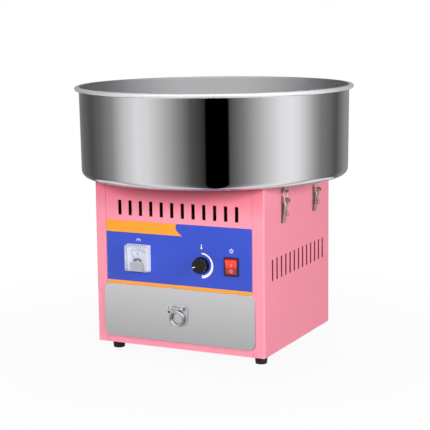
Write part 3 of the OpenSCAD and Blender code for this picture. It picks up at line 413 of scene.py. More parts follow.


# %% [markdown]
# ## The paint
#
# Powder coat lies like very fine orange peel under a clear gloss. Its colour also carries painted shade:
# it darkens with depth below the folded outline, so the cut faces of the punched slots and the inside of
# the cabinet are dark, and each slot has a thin dark rim of painted shadow. Under the overhanging bowl
# the front is painted deeper in tone, a painted shadow of the bowl. Each of these is a mask, a number that
# is 1 where its tone lies and 0 elsewhere, worked out from a point's place on the cabinet.

# %% Paint the sheet steel
SHEET_OUT = (0.170, 0.1565)
BEND = 0.004
EDGE_DEPTH = 0.0001
INSIDE_DEPTH = 0.0013
FRONT_SKIN = -0.1557
SIDE_SKIN = 0.1690
SHADED_FROM = 0.2885
SHADED_OVER = 0.052
SHADE_MIDDLE = 0.93
SHADE_FALL = 14
SHADOW_RIM_SHARE = 0.9
SHADOW_RIM_SOFT = 0.0003
# The slots of each row, rims included: their pitch, its start, half sizes, height and outer end
FRONT_ROW = {"pitch": 0.0214, "start": 0.0107, "half_width": 0.00345, "half_height": 0.01375,
             "height": 0.27375, "out_to": 0.1285}
SIDE_ROW = {"pitch": 0.020, "start": 0.0, "half_width": 0.0031, "half_height": 0.0197,
            "height": 0.1717, "out_to": 0.13}

pink = Finish("pink_powder_coat", colour(255, 156, 178), 0.42, **{
    "Coat Weight": 0.12, "Coat Roughness": 0.15})
pink.wear(0.44, 0.05, 0.05).bump(pink.noise(0.0016), 0.00003, 0.5)


def slot_shadow_rims(along, pitch, start, half_width, half_height, height, out_to):
    """A mask over a row of slots and the thin rim round each, which takes a painted shadow."""
    across = (along + start).nearest(pitch).below(half_width, SHADOW_RIM_SOFT)
    upright = abs(pink.z - height).below(half_height, SHADOW_RIM_SOFT)
    return across * upright * abs(along).below(out_to, SHADOW_RIM_SOFT)


over_x = abs(pink.x) - (SHEET_OUT[0] - BEND)
over_y = abs(pink.y) - (SHEET_OUT[1] - BEND)
past_bend = over_x.larger(0.0).length(over_y.larger(0.0))
depth = BEND - past_bend - over_x.larger(over_y).smaller(0.0)
outer = pink.blend(pink.noise(0.12), colour(252, 149, 169), colour(255, 156, 176))
# Painted shadow of the bowl: the front's pink is painted deeper under the overhang, most in the middle
painted_shadow_under_bowl = pink.z.above(SHADED_FROM, SHADED_OVER) * (SHADE_MIDDLE - pink.x * pink.x * SHADE_FALL)
outer = pink.blend(painted_shadow_under_bowl * pink.y.below(FRONT_SKIN, 0.0006), outer, colour(211, 72, 90))
# Painted shadow: a dark rim round each front slot, where the slot's shade falls on the front face
front_shadow_rims = slot_shadow_rims(pink.x, **FRONT_ROW) * pink.y.below(FRONT_SKIN, 0.0004)
outer = pink.blend(front_shadow_rims * SHADOW_RIM_SHARE, outer, colour(70, 20, 30))
# Painted shadow: a dark rim round each side slot
side_shadow_rims = slot_shadow_rims(pink.y, **SIDE_ROW) * abs(pink.x).above(SIDE_SKIN, 0.0005)
# Painted shade: the cut faces of the slots, below the outer skin, are darkened
edge = pink.blend(depth.above(EDGE_DEPTH, 0.0001), outer, colour(150, 46, 70))
edge = pink.blend(side_shadow_rims * SHADOW_RIM_SHARE, edge, colour(164, 48, 76))
# Painted shade: inside the cabinet, deeper than the sheet, the pink is painted dark
pink.link("Base Color", pink.blend(depth.above(INSIDE_DEPTH, 0.0003), edge, colour(84, 32, 46)))
print("paint:", pink.material.name)

# %% [markdown]
# ## Steel and plastic
#
# Drawn stainless is brushed along the sheet, and it carries a painted sheen, lighter towards the top and
# the right of the drawer. Zinc plating is a warmer grey with a fine mottle, moulded plastic carries the
# spark texture of its mould, and castings keep a sandy skin. Grain sizes are the real ones: 1.6 mm for
# the paint's orange peel, a third of a millimetre for spark texture.

# %% Make the plain finishes
DRAWER_MIDDLE = 0.085

satin = Finish("brushed_stainless", colour(218, 218, 220), 0.34, 1.0)
# Painted sheen: the colour runs from darker at the bottom left to lighter at the top right of the drawer
painted_sheen_share = ((satin.z - DRAWER_MIDDLE) * 5.5 + satin.x * 0.6).maths("ADD", 0.5, clamp=True).smaller(0.75)
painted_sheen_colour = satin.blend(painted_sheen_share, colour(188, 187, 189), colour(250, 250, 252))
brushing = satin.noise(0.0012, (60, 60, 1)) * 0.12
satin.link("Base Color", satin.blend(brushing, painted_sheen_colour, colour(120, 120, 122)))
satin.wear(0.36, 0.07, 0.001, (40, 40, 1))
satin.bump(satin.noise(0.0007, (50, 50, 1), 3.0), 0.00001)

plated = Finish("zinc_plate", colour(188, 180, 170), 0.27, 1.0)
plated.drift(0.12, 0.004).wear(0.30, 0.10, 0.003).bump(plated.noise(0.0009), 0.000015)

turned = Finish("turned_steel", colour(176, 176, 178), 0.25, 1.0)
turned.drift(0.08, 0.002, (8, 8, 1)).wear(0.27, 0.08, 0.0008, (30, 30, 1))
turned.bump(turned.noise(0.0005, (30, 30, 1)), 0.00001)

knob_black = shade("knob_black", colour(14, 14, 17), 0.24, grain=0.0012, depth=0.00001, drift=0.2,
                   **{"Specular IOR Level": 0.32})
chrome = Finish("chromed_pull", colour(196, 196, 198), 0.16, 1.0)
chrome.drift(0.06, 0.004).wear(0.18, 0.06, 0.004).bump(chrome.noise(0.0012), 0.000015)

latch_zinc = Finish("latch_zinc", colour(196, 188, 178), 0.36, 0.55)
latch_zinc.drift(0.10, 0.005).wear(0.38, 0.10, 0.003).bump(latch_zinc.noise(0.0009), 0.00002)

needle_paint = Finish("needle_paint", colour(132, 136, 150), 0.5)
needle_paint.drift(0.05, 0.002).wear(0.5, 0.05).bump(needle_paint.noise(0.0006), 0.00001)

finishes = {
    "pink_paint": pink.material,
    "stainless_satin": satin.material,
    "plated_steel": plated.material,
    "turned_steel": turned.material,
    "black_plastic": shade("black_moulding", colour(24, 24, 26), 0.32, grain=0.00035, drift=0.15),
    "black_rubber": shade("rubber_moulding", colour(34, 34, 34), 0.72, grain=0.0005, depth=0.00005,
                          drift=0.25),
    "cast_aluminium": shade("cast_aluminium", colour(176, 178, 182), 0.42, 1.0, grain=0.0009,
                            depth=0.00008),
    "brass_ring": shade("turned_brass", colour(214, 176, 98), 0.24, 1.0, grain=0.0006, stretch=(30, 30, 1)),
    "carbon": shade("brush_carbon", colour(40, 40, 42), 0.62, grain=0.0004, depth=0.00003, drift=0.3),
    "phenolic": shade("phenolic_moulding", colour(104, 52, 36), 0.45, grain=0.001, depth=0.00003,
                      drift=0.25),
    "ceramic": shade("fired_ceramic", colour(232, 226, 210), 0.55, grain=0.0012, depth=0.00004),
    "heater_alloy": shade("heater_ribbon", colour(104, 88, 78), 0.5, 1.0, grain=0.002, drift=0.35),
    "meter_white": shade("white_moulding", colour(228, 231, 240), 0.4, grain=0.0006, drift=0.02),
}
print("plain finishes:", len(finishes))

# %% [markdown]
# ## The bowl's two finishes
#
# Outside, the bowl is polished to a mirror, with only the finest lines round it. The rolled bead and
# the bent foot are duller, because rollers mark them after the polish. Inside the bowl keeps a softer
# shine: the lathe leaves fine rings round it, so a highlight is drawn out up and down. That is what
# Anisotropic does. A real bowl's wall is a rolled strip, welded to a ring, so a hairline seam runs up the
# back.

# %% Make the bowl's finishes
# The underside's height in millimetres, as the cross-section below uses it, and in metres
BOWL_Z = 323.3
BOWL_FOOT = BOWL_Z * MM
FOOT_TOP = BOWL_FOOT + 0.004
BEAD_LOW = BOWL_FOOT + 0.1592
BEAD_REACH = 0.2527
SEAM_HALF = 0.0006

mirror_steel = Finish("polished_stainless", colour(222, 222, 224), 0.03, 1.0)
reach_out = mirror_steel.x.length(mirror_steel.y)
bead = reach_out.above(BEAD_REACH, 0.0002) * mirror_steel.z.above(BEAD_LOW, 0.0002)
foot = mirror_steel.z.below(FOOT_TOP, 0.006)
fine_lines = mirror_steel.noise(0.0012, (60, 60, 1), 4.0) * 0.024
mirror_steel.link("Metallic", 1 - bead * 0.55)
mirror_steel.link("Roughness", fine_lines + 0.023 + bead * 0.2 + foot * 0.25)
mirror_steel.link("Base Color", mirror_steel.blend(bead, colour(222, 222, 224), colour(240, 240, 242)))
seam = abs(mirror_steel.x).below(SEAM_HALF, 0.0004) * mirror_steel.y.above(0.2, 0.01)
mirror_steel.bump(seam, 0.0001)

soft_steel = Finish("inner_stainless", colour(206, 206, 208), 0.42, 1.0, **{
    "Anisotropic": 0.85, "Anisotropic Rotation": 0.25})
soft_steel.drift(0.04, 0.002, (40, 40, 1)).wear(0.42, 0.05, 0.0015, (50, 50, 1))
soft_steel.bump(soft_steel.noise(0.001, (50, 50, 1)), 0.000008)
finishes["stainless_polished"] = mirror_steel.material
print("seam:", 2 * SEAM_HALF / MM, "mm wide")

# %% [markdown]
# ## The printed control panel
#
# The overlay is one printed film: blue, with an orange banner that ends in a wave, an orange line along
# the drawer, and a white crescent that swells towards the hot end of the knob's turn. Each shape is a
# mask, a number that is 1 inside and 0 outside, written from distances in the panel's own plane. Small
# plain symbols mark the three controls.

# %% Print the overlay
METER_X = -0.080
SWITCH_X = 0.107
FILM_EDGE = 0.0004
BANNER_LOW = 0.2283
BANNER_TOP = 0.250
# The banner's end at its top edge, and how the wave below swings in and then out
BANNER_END = -0.0015
WAVE_IN = 0.014
WAVE_OUT = 0.0255
LINE_TOP = 0.1378
SCALE_X = 0.0480
SCALE_Z = 0.1780
SCALE_RADIUS = 0.0232
SCALE_THIN = 0.0024
SCALE_THICK = 0.0058
GAUGE_Z = 0.2135
BULB_Z = 0.2092
POWER_Z = 0.2085

film = Finish("printed_film", colour(40, 64, 182), 0.3, **{"Coat Weight": 0.12, "Coat Roughness": 0.08})
film.wear(0.34, 0.05, 0.03).bump(film.noise(0.002), 0.00002, 0.4)

fall = (BANNER_TOP - film.z) / (BANNER_TOP - BANNER_LOW)
wave = fall * fall * WAVE_OUT - fall * WAVE_IN + BANNER_END
banner = film.z.above(BANNER_LOW, FILM_EDGE) * (film.x - wave).below(0.0, FILM_EDGE)
drawer_line = film.z.below(LINE_TOP, FILM_EDGE)

lean = (film.z - SCALE_Z) / SCALE_RADIUS
scale_width = (SCALE_THICK + SCALE_THIN) / 2 - lean * ((SCALE_THICK - SCALE_THIN) / 2)
from_centre = film.reach(SCALE_X, SCALE_Z)
crescent = (from_centre.below(SCALE_RADIUS, FILM_EDGE)
            * (from_centre + scale_width).above(SCALE_RADIUS, FILM_EDGE)
            * film.x.above(SCALE_X + 0.0003, FILM_EDGE))

half_ring = film.ring(METER_X, GAUGE_Z, 0.0042, 0.00055, FILM_EDGE) * film.z.above(GAUGE_Z, FILM_EDGE)
gauge_hand = film.bar(METER_X + 0.0008, GAUGE_Z + 0.0015, 0.00045, 0.0019, FILM_EDGE)
bulb = film.reach(SCALE_X, BULB_Z).below(0.0019, FILM_EDGE)
tube = film.bar(SCALE_X, BULB_Z + 0.0038, 0.0008, 0.0034, FILM_EDGE)
gap = film.bar(SWITCH_X, POWER_Z + 0.0032, 0.0014, 0.0013, FILM_EDGE)
open_ring = film.ring(SWITCH_X, POWER_Z, 0.0031, 0.0006, FILM_EDGE) * (1 - gap)
power_bar = film.bar(SWITCH_X, POWER_Z + 0.0021, 0.0006, 0.0022, FILM_EDGE)
white_print = crescent
for mark in (half_ring, gauge_hand, bulb, tube, open_ring, power_bar):
    white_print = white_print.larger(mark)
blue_ink = film.blend(film.noise(0.05), colour(44, 72, 192), colour(54, 82, 200))
ground = film.blend(banner.larger(drawer_line), blue_ink, colour(255, 163, 42))
film.link("Base Color", film.blend(white_print, ground, colour(244, 240, 250)))
finishes["printed_film"] = film.material
print("banner:", round((BANNER_TOP - BANNER_LOW) / MM, 1), "mm high")

# %% [markdown]
# ## The meter
#
# The voltmeter's dial has an arc with fine divisions, and longer ones at each number and halfway
# between. Polar coordinates round the needle's pivot make that simple: the arc is a radius, and the
# divisions are the places where the angle comes near a multiple of their step. The cover over it is
# clear in front, and milky down its sides and in the panel that hides the movement.

# %% Print the dial
METER_Z = 0.1827
PIVOT_Z = METER_Z - 0.0109
UNIT_Z = 0.1904
ARC_RADIUS = 0.0254
ARC_HALF_ANGLE = math.radians(36)
DIVISIONS = 30

dial = Finish("dial_print", colour(224, 230, 242), 0.45)
dial.wear(0.45, 0.05)
reach = dial.reach(METER_X, PIVOT_Z)
swing = (dial.x - METER_X).angle(dial.z - PIVOT_Z)
on_scale = abs(swing).below(ARC_HALF_ANGLE + 0.01, 0.01)
arc = abs(reach - ARC_RADIUS).below(0.00022, 0.0001)


def divisions(steps, half_angle, middle, half_length):
    """A mask over the lines that stand this many steps apart, a distance outside the arc."""
    across = swing.nearest(2 * ARC_HALF_ANGLE / DIVISIONS * steps).below(half_angle, 0.003)
    return across * abs(reach - ARC_RADIUS - middle).below(half_length, 0.0001)


fine = divisions(1, 0.006, 0.0009, 0.0009)
coarse = divisions(3, 0.009, 0.0013, 0.0014)
marks = on_scale * arc.larger(fine).larger(coarse)
unit_bar = dial.bar(METER_X, UNIT_Z, 0.0007, 0.0025, 0.0001)
paper = dial.blend(dial.noise(0.02), colour(220, 228, 243), colour(228, 233, 243))
dial.link("Base Color", dial.blend(marks.larger(unit_bar * 0.8), paper, colour(60, 66, 80)))
print("divisions on the dial:", DIVISIONS)

# %% Make the meter's case and cover
CASE_FRONT = -0.1571
METER_HALF = 0.0236
PANEL_HALF = 0.0130
PANEL_TOP = 0.1760
PANEL_FRONT = -0.167

meter_moulding = Finish("meter_moulding", colour(226, 229, 238), 0.4)
behind = meter_moulding.y.above(CASE_FRONT, 0.0002)
meter_moulding.link("Base Color", meter_moulding.blend(behind, colour(228, 231, 240), colour(26, 26, 28)))
meter_moulding.wear(0.4, 0.05).bump(meter_moulding.noise(0.0006), 0.00002)

cover = Finish("clear_cover", colour(232, 236, 246), 0.07, **{"Coat Weight": 0.5})
edge_across = abs(cover.x - METER_X).above(METER_HALF - 0.0006, 0.0006)
edge_up = abs(cover.z - METER_Z).above(METER_HALF - 0.0004, 0.0006)
panel_across = abs(cover.x - METER_X).below(PANEL_HALF, 0.0008)
panel = panel_across * cover.z.below(PANEL_TOP, 0.0008) * cover.y.below(PANEL_FRONT, 0.001)
milky = edge_across.larger(edge_up) * 0.78
cover.link("Alpha", milky.larger(panel * 0.62) + 0.10)
cover.link("Base Color", cover.blend(panel, colour(234, 238, 248), colour(190, 188, 196)))
cover.wear(0.08, 0.03, 0.01)
finishes["clear_cover"] = cover.material
print("cover:", round(2 * METER_HALF / MM, 1), "mm wide")

# %% [markdown]
# ## The lit rocker
#
# The rocker is clear red plastic. Its top is painted lighter and given a glow, a painted highlight where
# the upper end catches the light, and the rest is a deeper red. Its two marks, a bar and a ring, are the
# usual ones for on and off.

# %% Make the rocker's finish
SWITCH_Z = 0.180
PAINTED_GLOW_FROM = SWITCH_Z + 0.001
ON_MARK_Z = 0.1825
OFF_MARK_Z = 0.1724
MARK_EDGE = 0.0002

rocker = Finish("red_rocker", colour(206, 40, 34), 0.2, **{
    "Coat Weight": 0.6, "Coat Roughness": 0.05, "Emission Strength": 0.55})
# Painted highlight: the top is lighter and glows, where the upper end catches the light
painted_glow_top = rocker.z.above(PAINTED_GLOW_FROM, 0.008)
red_tone = rocker.blend(painted_glow_top, colour(172, 30, 27), colour(250, 58, 40))
on_mark = rocker.bar(SWITCH_X, ON_MARK_Z, 0.0006, 0.0022, MARK_EDGE)
off_mark = rocker.ring(SWITCH_X, OFF_MARK_Z, 0.0023, 0.0005, MARK_EDGE)
rocker.link("Base Color", rocker.blend(on_mark.larger(off_mark) * 0.75, red_tone, colour(255, 214, 206)))
rocker.link("Emission Color", rocker.blend(painted_glow_top, colour(40, 2, 1), colour(255, 34, 14)))
rocker.wear(0.2, 0.05, 0.004).bump(rocker.noise(0.0012), 0.00003, 0.4)
finishes["red_rocker"] = rocker.material
print("on and off marks:", round((ON_MARK_Z - OFF_MARK_Z) / MM, 1), "mm apart")

# %% [markdown]
# ## The circuit board
#
# Its CAD solid carries the board and the parts on it in one piece, so the finish picks a colour from how
# far a point stands off the board: green lacquer with tracks on the board itself, and black, blue and
# yellow on the parts that stand on it.

# %% Make the board's finish
BOARD_FACE = -0.1599
BLUE_FROM = 0.2405

board = Finish("circuit_board", colour(22, 92, 50), 0.35)
tracks = board.noise(0.004, (1, 6, 1)).above(0.56, 0.02) * 0.5
green = board.blend(tracks, colour(20, 84, 46), colour(46, 128, 70))
stands_off = board.x.above(BOARD_FACE + 0.0004, 0.0002)
part_tone = board.blend(board.y.above(0.0, 0.001), colour(28, 28, 30), colour(190, 170, 60))
part_tone = board.blend(board.z.above(BLUE_FROM, 0.001), part_tone, colour(44, 70, 150))
board.link("Base Color", board.blend(stands_off, green, part_tone))
board.wear(0.38, 0.1, 0.006).bump(board.noise(0.003), 0.0001, 0.5)
finishes["circuit_board"] = board.material
print("finishes:", len(finishes))

# %% [markdown]
# ## Soft edges
#
# No moulded or pressed part has a knife edge, and it is the thin highlight along an edge that makes a
# part look real. A CAD mesh is loose triangles, so it is copied, its triangles are joined and its flat
# faces made whole, and a Bevel modifier rounds what is sharper than 30 degrees. The copy stands for the
# CAD node, which stays as it is.

# %% Soften a CAD node
SHARP = math.radians(30)
FLAT = math.radians(0.4)
JOIN = 0.000002


def finish_mesh(made):
    """The evaluated mesh of an object, with its modifiers taken off."""
    shown = made.evaluated_get(bpy.context.evaluated_depsgraph_get())
    data = bpy.data.meshes.new_from_object(shown)
    made.modifiers.clear()
    made.data = data
    return made


def put(made, body, stands_for=()):
    """Lets a finished piece ride on its body, and hides the CAD nodes that it stands for."""
    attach(made, body)
    if stands_for:
        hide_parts(*stands_for)
    return made


def new_object(name, mesh, *materials):
    """An object from a bmesh, smooth shaded, with its materials."""
    data = bpy.data.meshes.new(name)
    mesh.to_mesh(data)
    mesh.free()
    for material in materials:
        data.materials.append(material)
    data.shade_smooth()
    made = bpy.data.objects.new(name, data)
    scene.collection.objects.link(made)
    return made


node_body = {node: body for body, nodes in frame["record"]["behaviour"]["bodies"].items() for node in nodes}
node_slot = {row["node"]: row["material_slot"] for row in frame["record"]["subparts"]}


def whole_faces(node, reshape=None):
    """A copy of a CAD node's mesh with its triangles joined and its flat faces made whole."""
    mesh = bmesh.new()
    mesh.from_mesh(frame["nodes"][node].data)
    if reshape:
        for vert in mesh.verts:
            vert.co = reshape(vert.co)
    bmesh.ops.remove_doubles(mesh, verts=mesh.verts, dist=JOIN)
    bmesh.ops.dissolve_limit(mesh, angle_limit=FLAT, verts=mesh.verts, edges=mesh.edges)
    return mesh


def soften(node, width, segments=2, material=None, reshape=None, recess=None):
    """Puts a copy with rounded edges, width millimetres wide, in place of a CAD node."""
    made = new_object(node + "_soft", whole_faces(node, reshape), material or finishes[node_slot[node]])
    bevel = made.modifiers.new("edges", "BEVEL")
    bevel.width = width * MM
    bevel.segments = segments
    bevel.limit_method = "ANGLE"
    bevel.angle_limit = SHARP
    bevel.harden_normals = True
    bevel.use_clamp_overlap = True
    if recess:
        carve = made.modifiers.new("recess", "BOOLEAN")
        carve.object = recess
        carve.solver = "EXACT"
    even = made.modifiers.new("even_shading", "WEIGHTED_NORMAL")
    even.weight = 100
    even.keep_sharp = True
    finish_mesh(made)
    return put(made, node_body[node], [node])


# %% [markdown]
# ## Recipes for what repeats
#
# Screw heads, rivets, ribs and the parts on a circuit board are the same small form many times over.
# Geometry Nodes make them from a recipe with named inputs: change the count or the radius and the whole
# set follows. Each recipe ends with real geometry and a material, because instances don't survive an
# export. The class below holds such a tree, and its make method runs it and keeps the plain mesh.

# %% A class for Geometry Nodes recipes
class Recipe:
    """A Geometry Nodes tree with named inputs that gives finished meshes."""

    def __init__(self, name, **kinds):
        self.tree = bpy.data.node_groups.new(name, "GeometryNodeTree")
        self.socket_id = {}
        for key, kind in {"Base": "Geometry", "Finish": "Material", **kinds}.items():
            made = self.tree.interface.new_socket(key, in_out="INPUT", socket_type="NodeSocket" + kind)
            self.socket_id[key] = made.identifier
        self.tree.interface.new_socket("Result", in_out="OUTPUT", socket_type="NodeSocketGeometry")
        self.given = self.tree.nodes.new("NodeGroupInput").outputs

    def add(self, kind, settings=None, inputs=None, output=0):
        """Adds a node and gives one of its outputs."""
        return add_node(self.tree, kind, settings, inputs).outputs[output]

    def amount(self, socket):
        """A socket as a number to do sums with."""
        return Amount(self.tree, socket)

    def end(self, shape):
        """Makes the copies real, gives them the finish and ends the tree."""
        real = self.add("GeometryNodeRealizeInstances", inputs={"Geometry": shape})
        painted = self.add("GeometryNodeSetMaterial", inputs={
            "Geometry": real, "Material": self.given["Finish"]})
        self.tree.links.new(painted, self.tree.nodes.new("NodeGroupOutput").inputs[0])

    def make(self, name, finish, base=None, edge=0.0, **values):
        """Runs the recipe, rounds edges by edge millimetres, and gives a plain object."""
        made = bpy.data.objects.new(name, base or bpy.data.meshes.new(name))
        scene.collection.objects.link(made)
        run = made.modifiers.new("recipe", "NODES")
        run.node_group = self.tree
        for key, value in {"Finish": finish, **values}.items():
            run[self.socket_id[key]] = value
        if edge:
            bevel = made.modifiers.new("edges", "BEVEL")
            bevel.width = edge * MM
            bevel.segments = 2
        return finish_mesh(made)


# %% [markdown]
# The first recipe puts a copy of a part on every point of a mesh, turned to face along the point's own
# direction, and gives each copy a random spin round that direction from a fixed seed, since no two
# screws stop at the same turn. The second sets ribs round a circle, and the third winds a corrugated
# ribbon.

# %% Build the recipe for parts on places
on_places = Recipe("parts_on_places", Part="Object", Spin="Float", Seed="Int")
given = on_places.given
points = on_places.add("GeometryNodeMeshToPoints", inputs={"Mesh": given["Base"]})
facing = on_places.add("GeometryNodeInputNamedAttribute", {"data_type": "FLOAT_VECTOR"}, {"Name": "facing"})
aligned = on_places.add("FunctionNodeAlignRotationToVector", {"axis": "Z"}, {"Vector": facing})
part_shape = on_places.add("GeometryNodeObjectInfo", inputs={"Object": given["Part"]}, output="Geometry")
copies = on_places.add("GeometryNodeInstanceOnPoints", inputs={
    "Points": points, "Instance": part_shape, "Rotation": aligned})
# Sockets 2 and 3 are the least and the largest number, and output 1 is the one that is drawn
spin = on_places.add("FunctionNodeRandomValue", {"data_type": "FLOAT"}, {
    2: 0.0, 3: given["Spin"], "Seed": given["Seed"]}, output=1)
own_turn = on_places.add("ShaderNodeCombineXYZ", inputs={"Z": spin})
on_places.end(on_places.add("GeometryNodeRotateInstances", inputs={
    "Instances": copies, "Rotation": own_turn}))

# %% Build the recipe for ribs
ribs_round = Recipe("ribs_round_a_circle", Count="Int", Radius="Float", Rib="Vector", Place="Vector",
                    Facing="Vector")
given = ribs_round.given
circle = ribs_round.add("GeometryNodeMeshCircle", inputs={
    "Vertices": given["Count"], "Radius": given["Radius"]})
rib_shape = ribs_round.add("GeometryNodeMeshCube", inputs={"Size": given["Rib"]})
index = ribs_round.amount(ribs_round.add("GeometryNodeInputIndex"))
rib_turn = ribs_round.add("ShaderNodeCombineXYZ", inputs={
    "Z": index / ribs_round.amount(given["Count"]) * math.tau})
ribs = ribs_round.add("GeometryNodeInstanceOnPoints", inputs={
    "Points": circle, "Instance": rib_shape, "Rotation": rib_turn})
ribs_round.end(ribs_round.add("GeometryNodeTransform", inputs={
    "Geometry": ribs, "Translation": given["Place"], "Rotation": given["Facing"]}))

# %% Build the recipe for the ribbon
RIBBON_STEPS = 720

ribbon = Recipe("corrugated_ribbon", Radius="Float", Wave="Float", Waves="Int", Thickness="Float",
                Height="Float", Rise="Float")
given = ribbon.given
round_path = ribbon.add("GeometryNodeCurvePrimitiveCircle", inputs={
    "Resolution": RIBBON_STEPS, "Radius": given["Radius"]})
spot = ribbon.add("GeometryNodeInputPosition")
spot_parts = add_node(ribbon.tree, "ShaderNodeSeparateXYZ", inputs={0: spot}).outputs
turned_by = ribbon.amount(spot_parts[1]).angle(ribbon.amount(spot_parts[0]))
swell = (turned_by * ribbon.amount(given["Waves"])).maths("SINE") * ribbon.amount(given["Wave"])
outward = ribbon.add("ShaderNodeVectorMath", {"operation": "NORMALIZE"}, {0: spot})
shift = ribbon.add("ShaderNodeVectorMath", {"operation": "SCALE"}, {0: outward, "Scale": swell})
wavy = ribbon.add("GeometryNodeSetPosition", inputs={"Geometry": round_path, "Offset": shift})
section = ribbon.add("GeometryNodeCurvePrimitiveQuadrilateral", inputs={
    "Width": given["Thickness"], "Height": given["Height"]})
band = ribbon.add("GeometryNodeCurveToMesh", inputs={"Curve": wavy, "Profile Curve": section})
lift = ribbon.add("ShaderNodeCombineXYZ", inputs={"Z": given["Rise"]})
ribbon.end(ribbon.add("GeometryNodeTransform", inputs={"Geometry": band, "Translation": lift}))
print("recipes:", on_places.tree.name, ribs_round.tree.name, ribbon.tree.name)

# %% [markdown]
# ## The cabinet
#
# The panels are folded sheet. Their slots are punched, so both edges of each slot are slightly rounded
# once the paint is on. Of the sheet parts, the pressed drawer front has the softest edge.

# %% Soften the cabinet
edge_widths = {
    "side_panel_left": 0.2, "side_panel_right": 0.2, "front_panel": 0.25, "rear_panel": 0.25,
    "base_plate": 0.3, "top_deck": 0.3, "control_overlay": 0.12, "feet": 0.9,
    "drawer_runners": 0.3, "drawer_front": 0.8, "drawer_tray": 0.3,
}
for node, width in edge_widths.items():
    soften(node, width)
soften("pull_ring", 0.3, material=chrome.material)
soften("pull_plate", 0.35, material=satin.material)
soften("temperature_knob", 0.9, material=knob_black)
print("softened:", len(edge_widths) + 3)

# %% Soften the controls
COVER_BACK = -0.157
COVER_DEPTH = 0.012
COVER_DRAFT = 0.05

control_widths = {
    "meter_pivot_cover": 0.25, "potentiometer": 0.2, "potentiometer_shaft": 0.3,
    "switch_body": 0.4, "switch_rocker": 0.5, "fuse_holder": 0.4, "cable_gland": 0.5,
    "regulator_board": 0.2, "heatsink": 0.3,
}
for node, width in control_widths.items():
    soften(node, width)
soften("meter_dial", 0.15, material=dial.material)
soften("meter_case", 0.4, material=meter_moulding.material)
soften("meter_needle", 0.1, material=needle_paint.material)


def with_draft(place):
    """Draws the cover in towards its front, as a moulding must be to leave its mould."""
    share = min(1.0, max(0.0, (COVER_BACK - place.y) / COVER_DEPTH))
    k = 1 - COVER_DRAFT * share
    return Vector((METER_X + (place.x - METER_X) * k, place.y, METER_Z + (place.z - METER_Z) * k))


soften("meter_lens", 0.8, 3, reshape=with_draft)
print("softened:", len(control_widths) + 4)

# %% Soften the drive, the spinner head and the latches
drive_widths = {
    "motor_body": 1.2, "motor_plate": 0.4, "motor_bushes": 0.6, "motor_shaft": 0.4,
    "motor_pulley": 0.4, "drive_belt": 0.4, "bearing_housing": 0.8, "spindle_bearings": 0.2,
    "spindle": 0.4, "driven_pulley": 0.4, "slip_ring_hub": 0.4, "slip_rings": 0.3,
    "brush_holder": 0.5, "carbon_brushes": 0.2, "head_base": 0.6, "heater_insulators": 0.3,
    "head_lid": 0.5, "head_fasteners": 0.3, "mesh_band": 0.15, "bowl_catches": 0.25,
    "latch_bases": 0.2,
}
for node, width in drive_widths.items():
    soften(node, width)
# Painted highlight: the wire bails take a lighter copy of the latches' zinc, for the light their legs catch
painted_highlight_wire = shade("painted_highlight_wire", colour(236, 230, 220), 0.34, 0.35, drift=0.06)
for end in ("front", "rear"):
    for side in ("left", "right"):
        soften(f"latch_lever_{end}_{side}", 0.2, material=latch_zinc.material)
        soften(f"latch_bail_{end}_{side}", 0.05, material=painted_highlight_wire)
print("softened:", len(drive_widths) + 8)

# %% [markdown]
# ## Screws and rivets
#
# Every pan head screw has a cross recess. The CAD mesh tells where the heads are: each is a flat disc of
# the head's radius, and the disc's middle and its normal are all that a recess needs. The recipe sets a
# cross on each, and a Boolean modifier sinks them into the heads.

# %% Sink a cross into every screw head
HEAD_RADIUS = 0.0036
HEAD_CORNERS = 20
HEAD_CLOSE = 0.00002
# The cross, in millimetres from the middle of the head's face
CROSS_REACH = 2.1
CROSS_HALF = 0.42
CROSS_DEPTH = 1.3
CROSS_TOP = 1.0


def mesh_of_places(name, places):
    """A mesh with one point for each place, and the direction that it faces."""
    data = bpy.data.meshes.new(name)
    data.from_pydata([place for place, _ in places], [], [])
    data.attributes.new("facing", "FLOAT_VECTOR", "POINT").data.foreach_set(
        "vector", [c for _, way in places for c in way])
    return data


def head_discs(node):
    """The middle and the normal of each screw head's flat face in a CAD node."""
    mesh = whole_faces(node)
    found = []
    for face in mesh.faces:
        middle = face.calc_center_median()
        misses = [abs((vert.co - middle).length - HEAD_RADIUS) for vert in face.verts]
        if len(misses) > HEAD_CORNERS and max(misses) < HEAD_CLOSE:
            found.append((middle.copy(), face.normal.copy()))
    mesh.free()
    return found


def add_box(mesh, low, high):
    """Adds a box between two corners, in millimetres, to a bmesh."""
    size = Vector(high) - Vector(low)
    middle = (Vector(high) + Vector(low)) / 2
    place = Matrix.Translation(middle * MM) @ Matrix.Diagonal((*size, 1))
    bmesh.ops.create_cube(mesh, size=MM, matrix=place)


def drop(*objects):
    """Removes helper objects, which were only shapes for a recipe."""
    for helper in objects:
        bpy.data.objects.remove(helper)


cross = bmesh.new()
add_box(cross, (-CROSS_REACH, -CROSS_HALF, -CROSS_DEPTH), (CROSS_REACH, CROSS_HALF, CROSS_TOP))
add_box(cross, (-CROSS_HALF, -CROSS_REACH, -CROSS_DEPTH), (CROSS_HALF, CROSS_REACH, CROSS_TOP))
cross_part = new_object("cross_recess", cross)
heads = head_discs("machine_screws")
recesses = on_places.make("cross_recesses", plated.material, mesh_of_places("head_places", heads),
                          Part=cross_part, Spin=math.pi, Seed=4)
soften("machine_screws", 0.4, recess=recesses)
drop(cross_part, recesses)
print("screw heads:", len(heads))

# %% [markdown]
# Rivets hold the latch bases and the plate behind the ring pull, which has two taller studs beside the
# ring's bracket as well. A rivet head is a low dome: half a ball, pressed flat.

# %% Set the rivets
RIVET = (1.7, 0.9)
STUD = (2.3, 2.0)
LATCH_FACE = 0.1712
LATCH_Y = 0.075
LATCH_RIVET_Z = 0.2958
PLATE_FACE = -0.1607


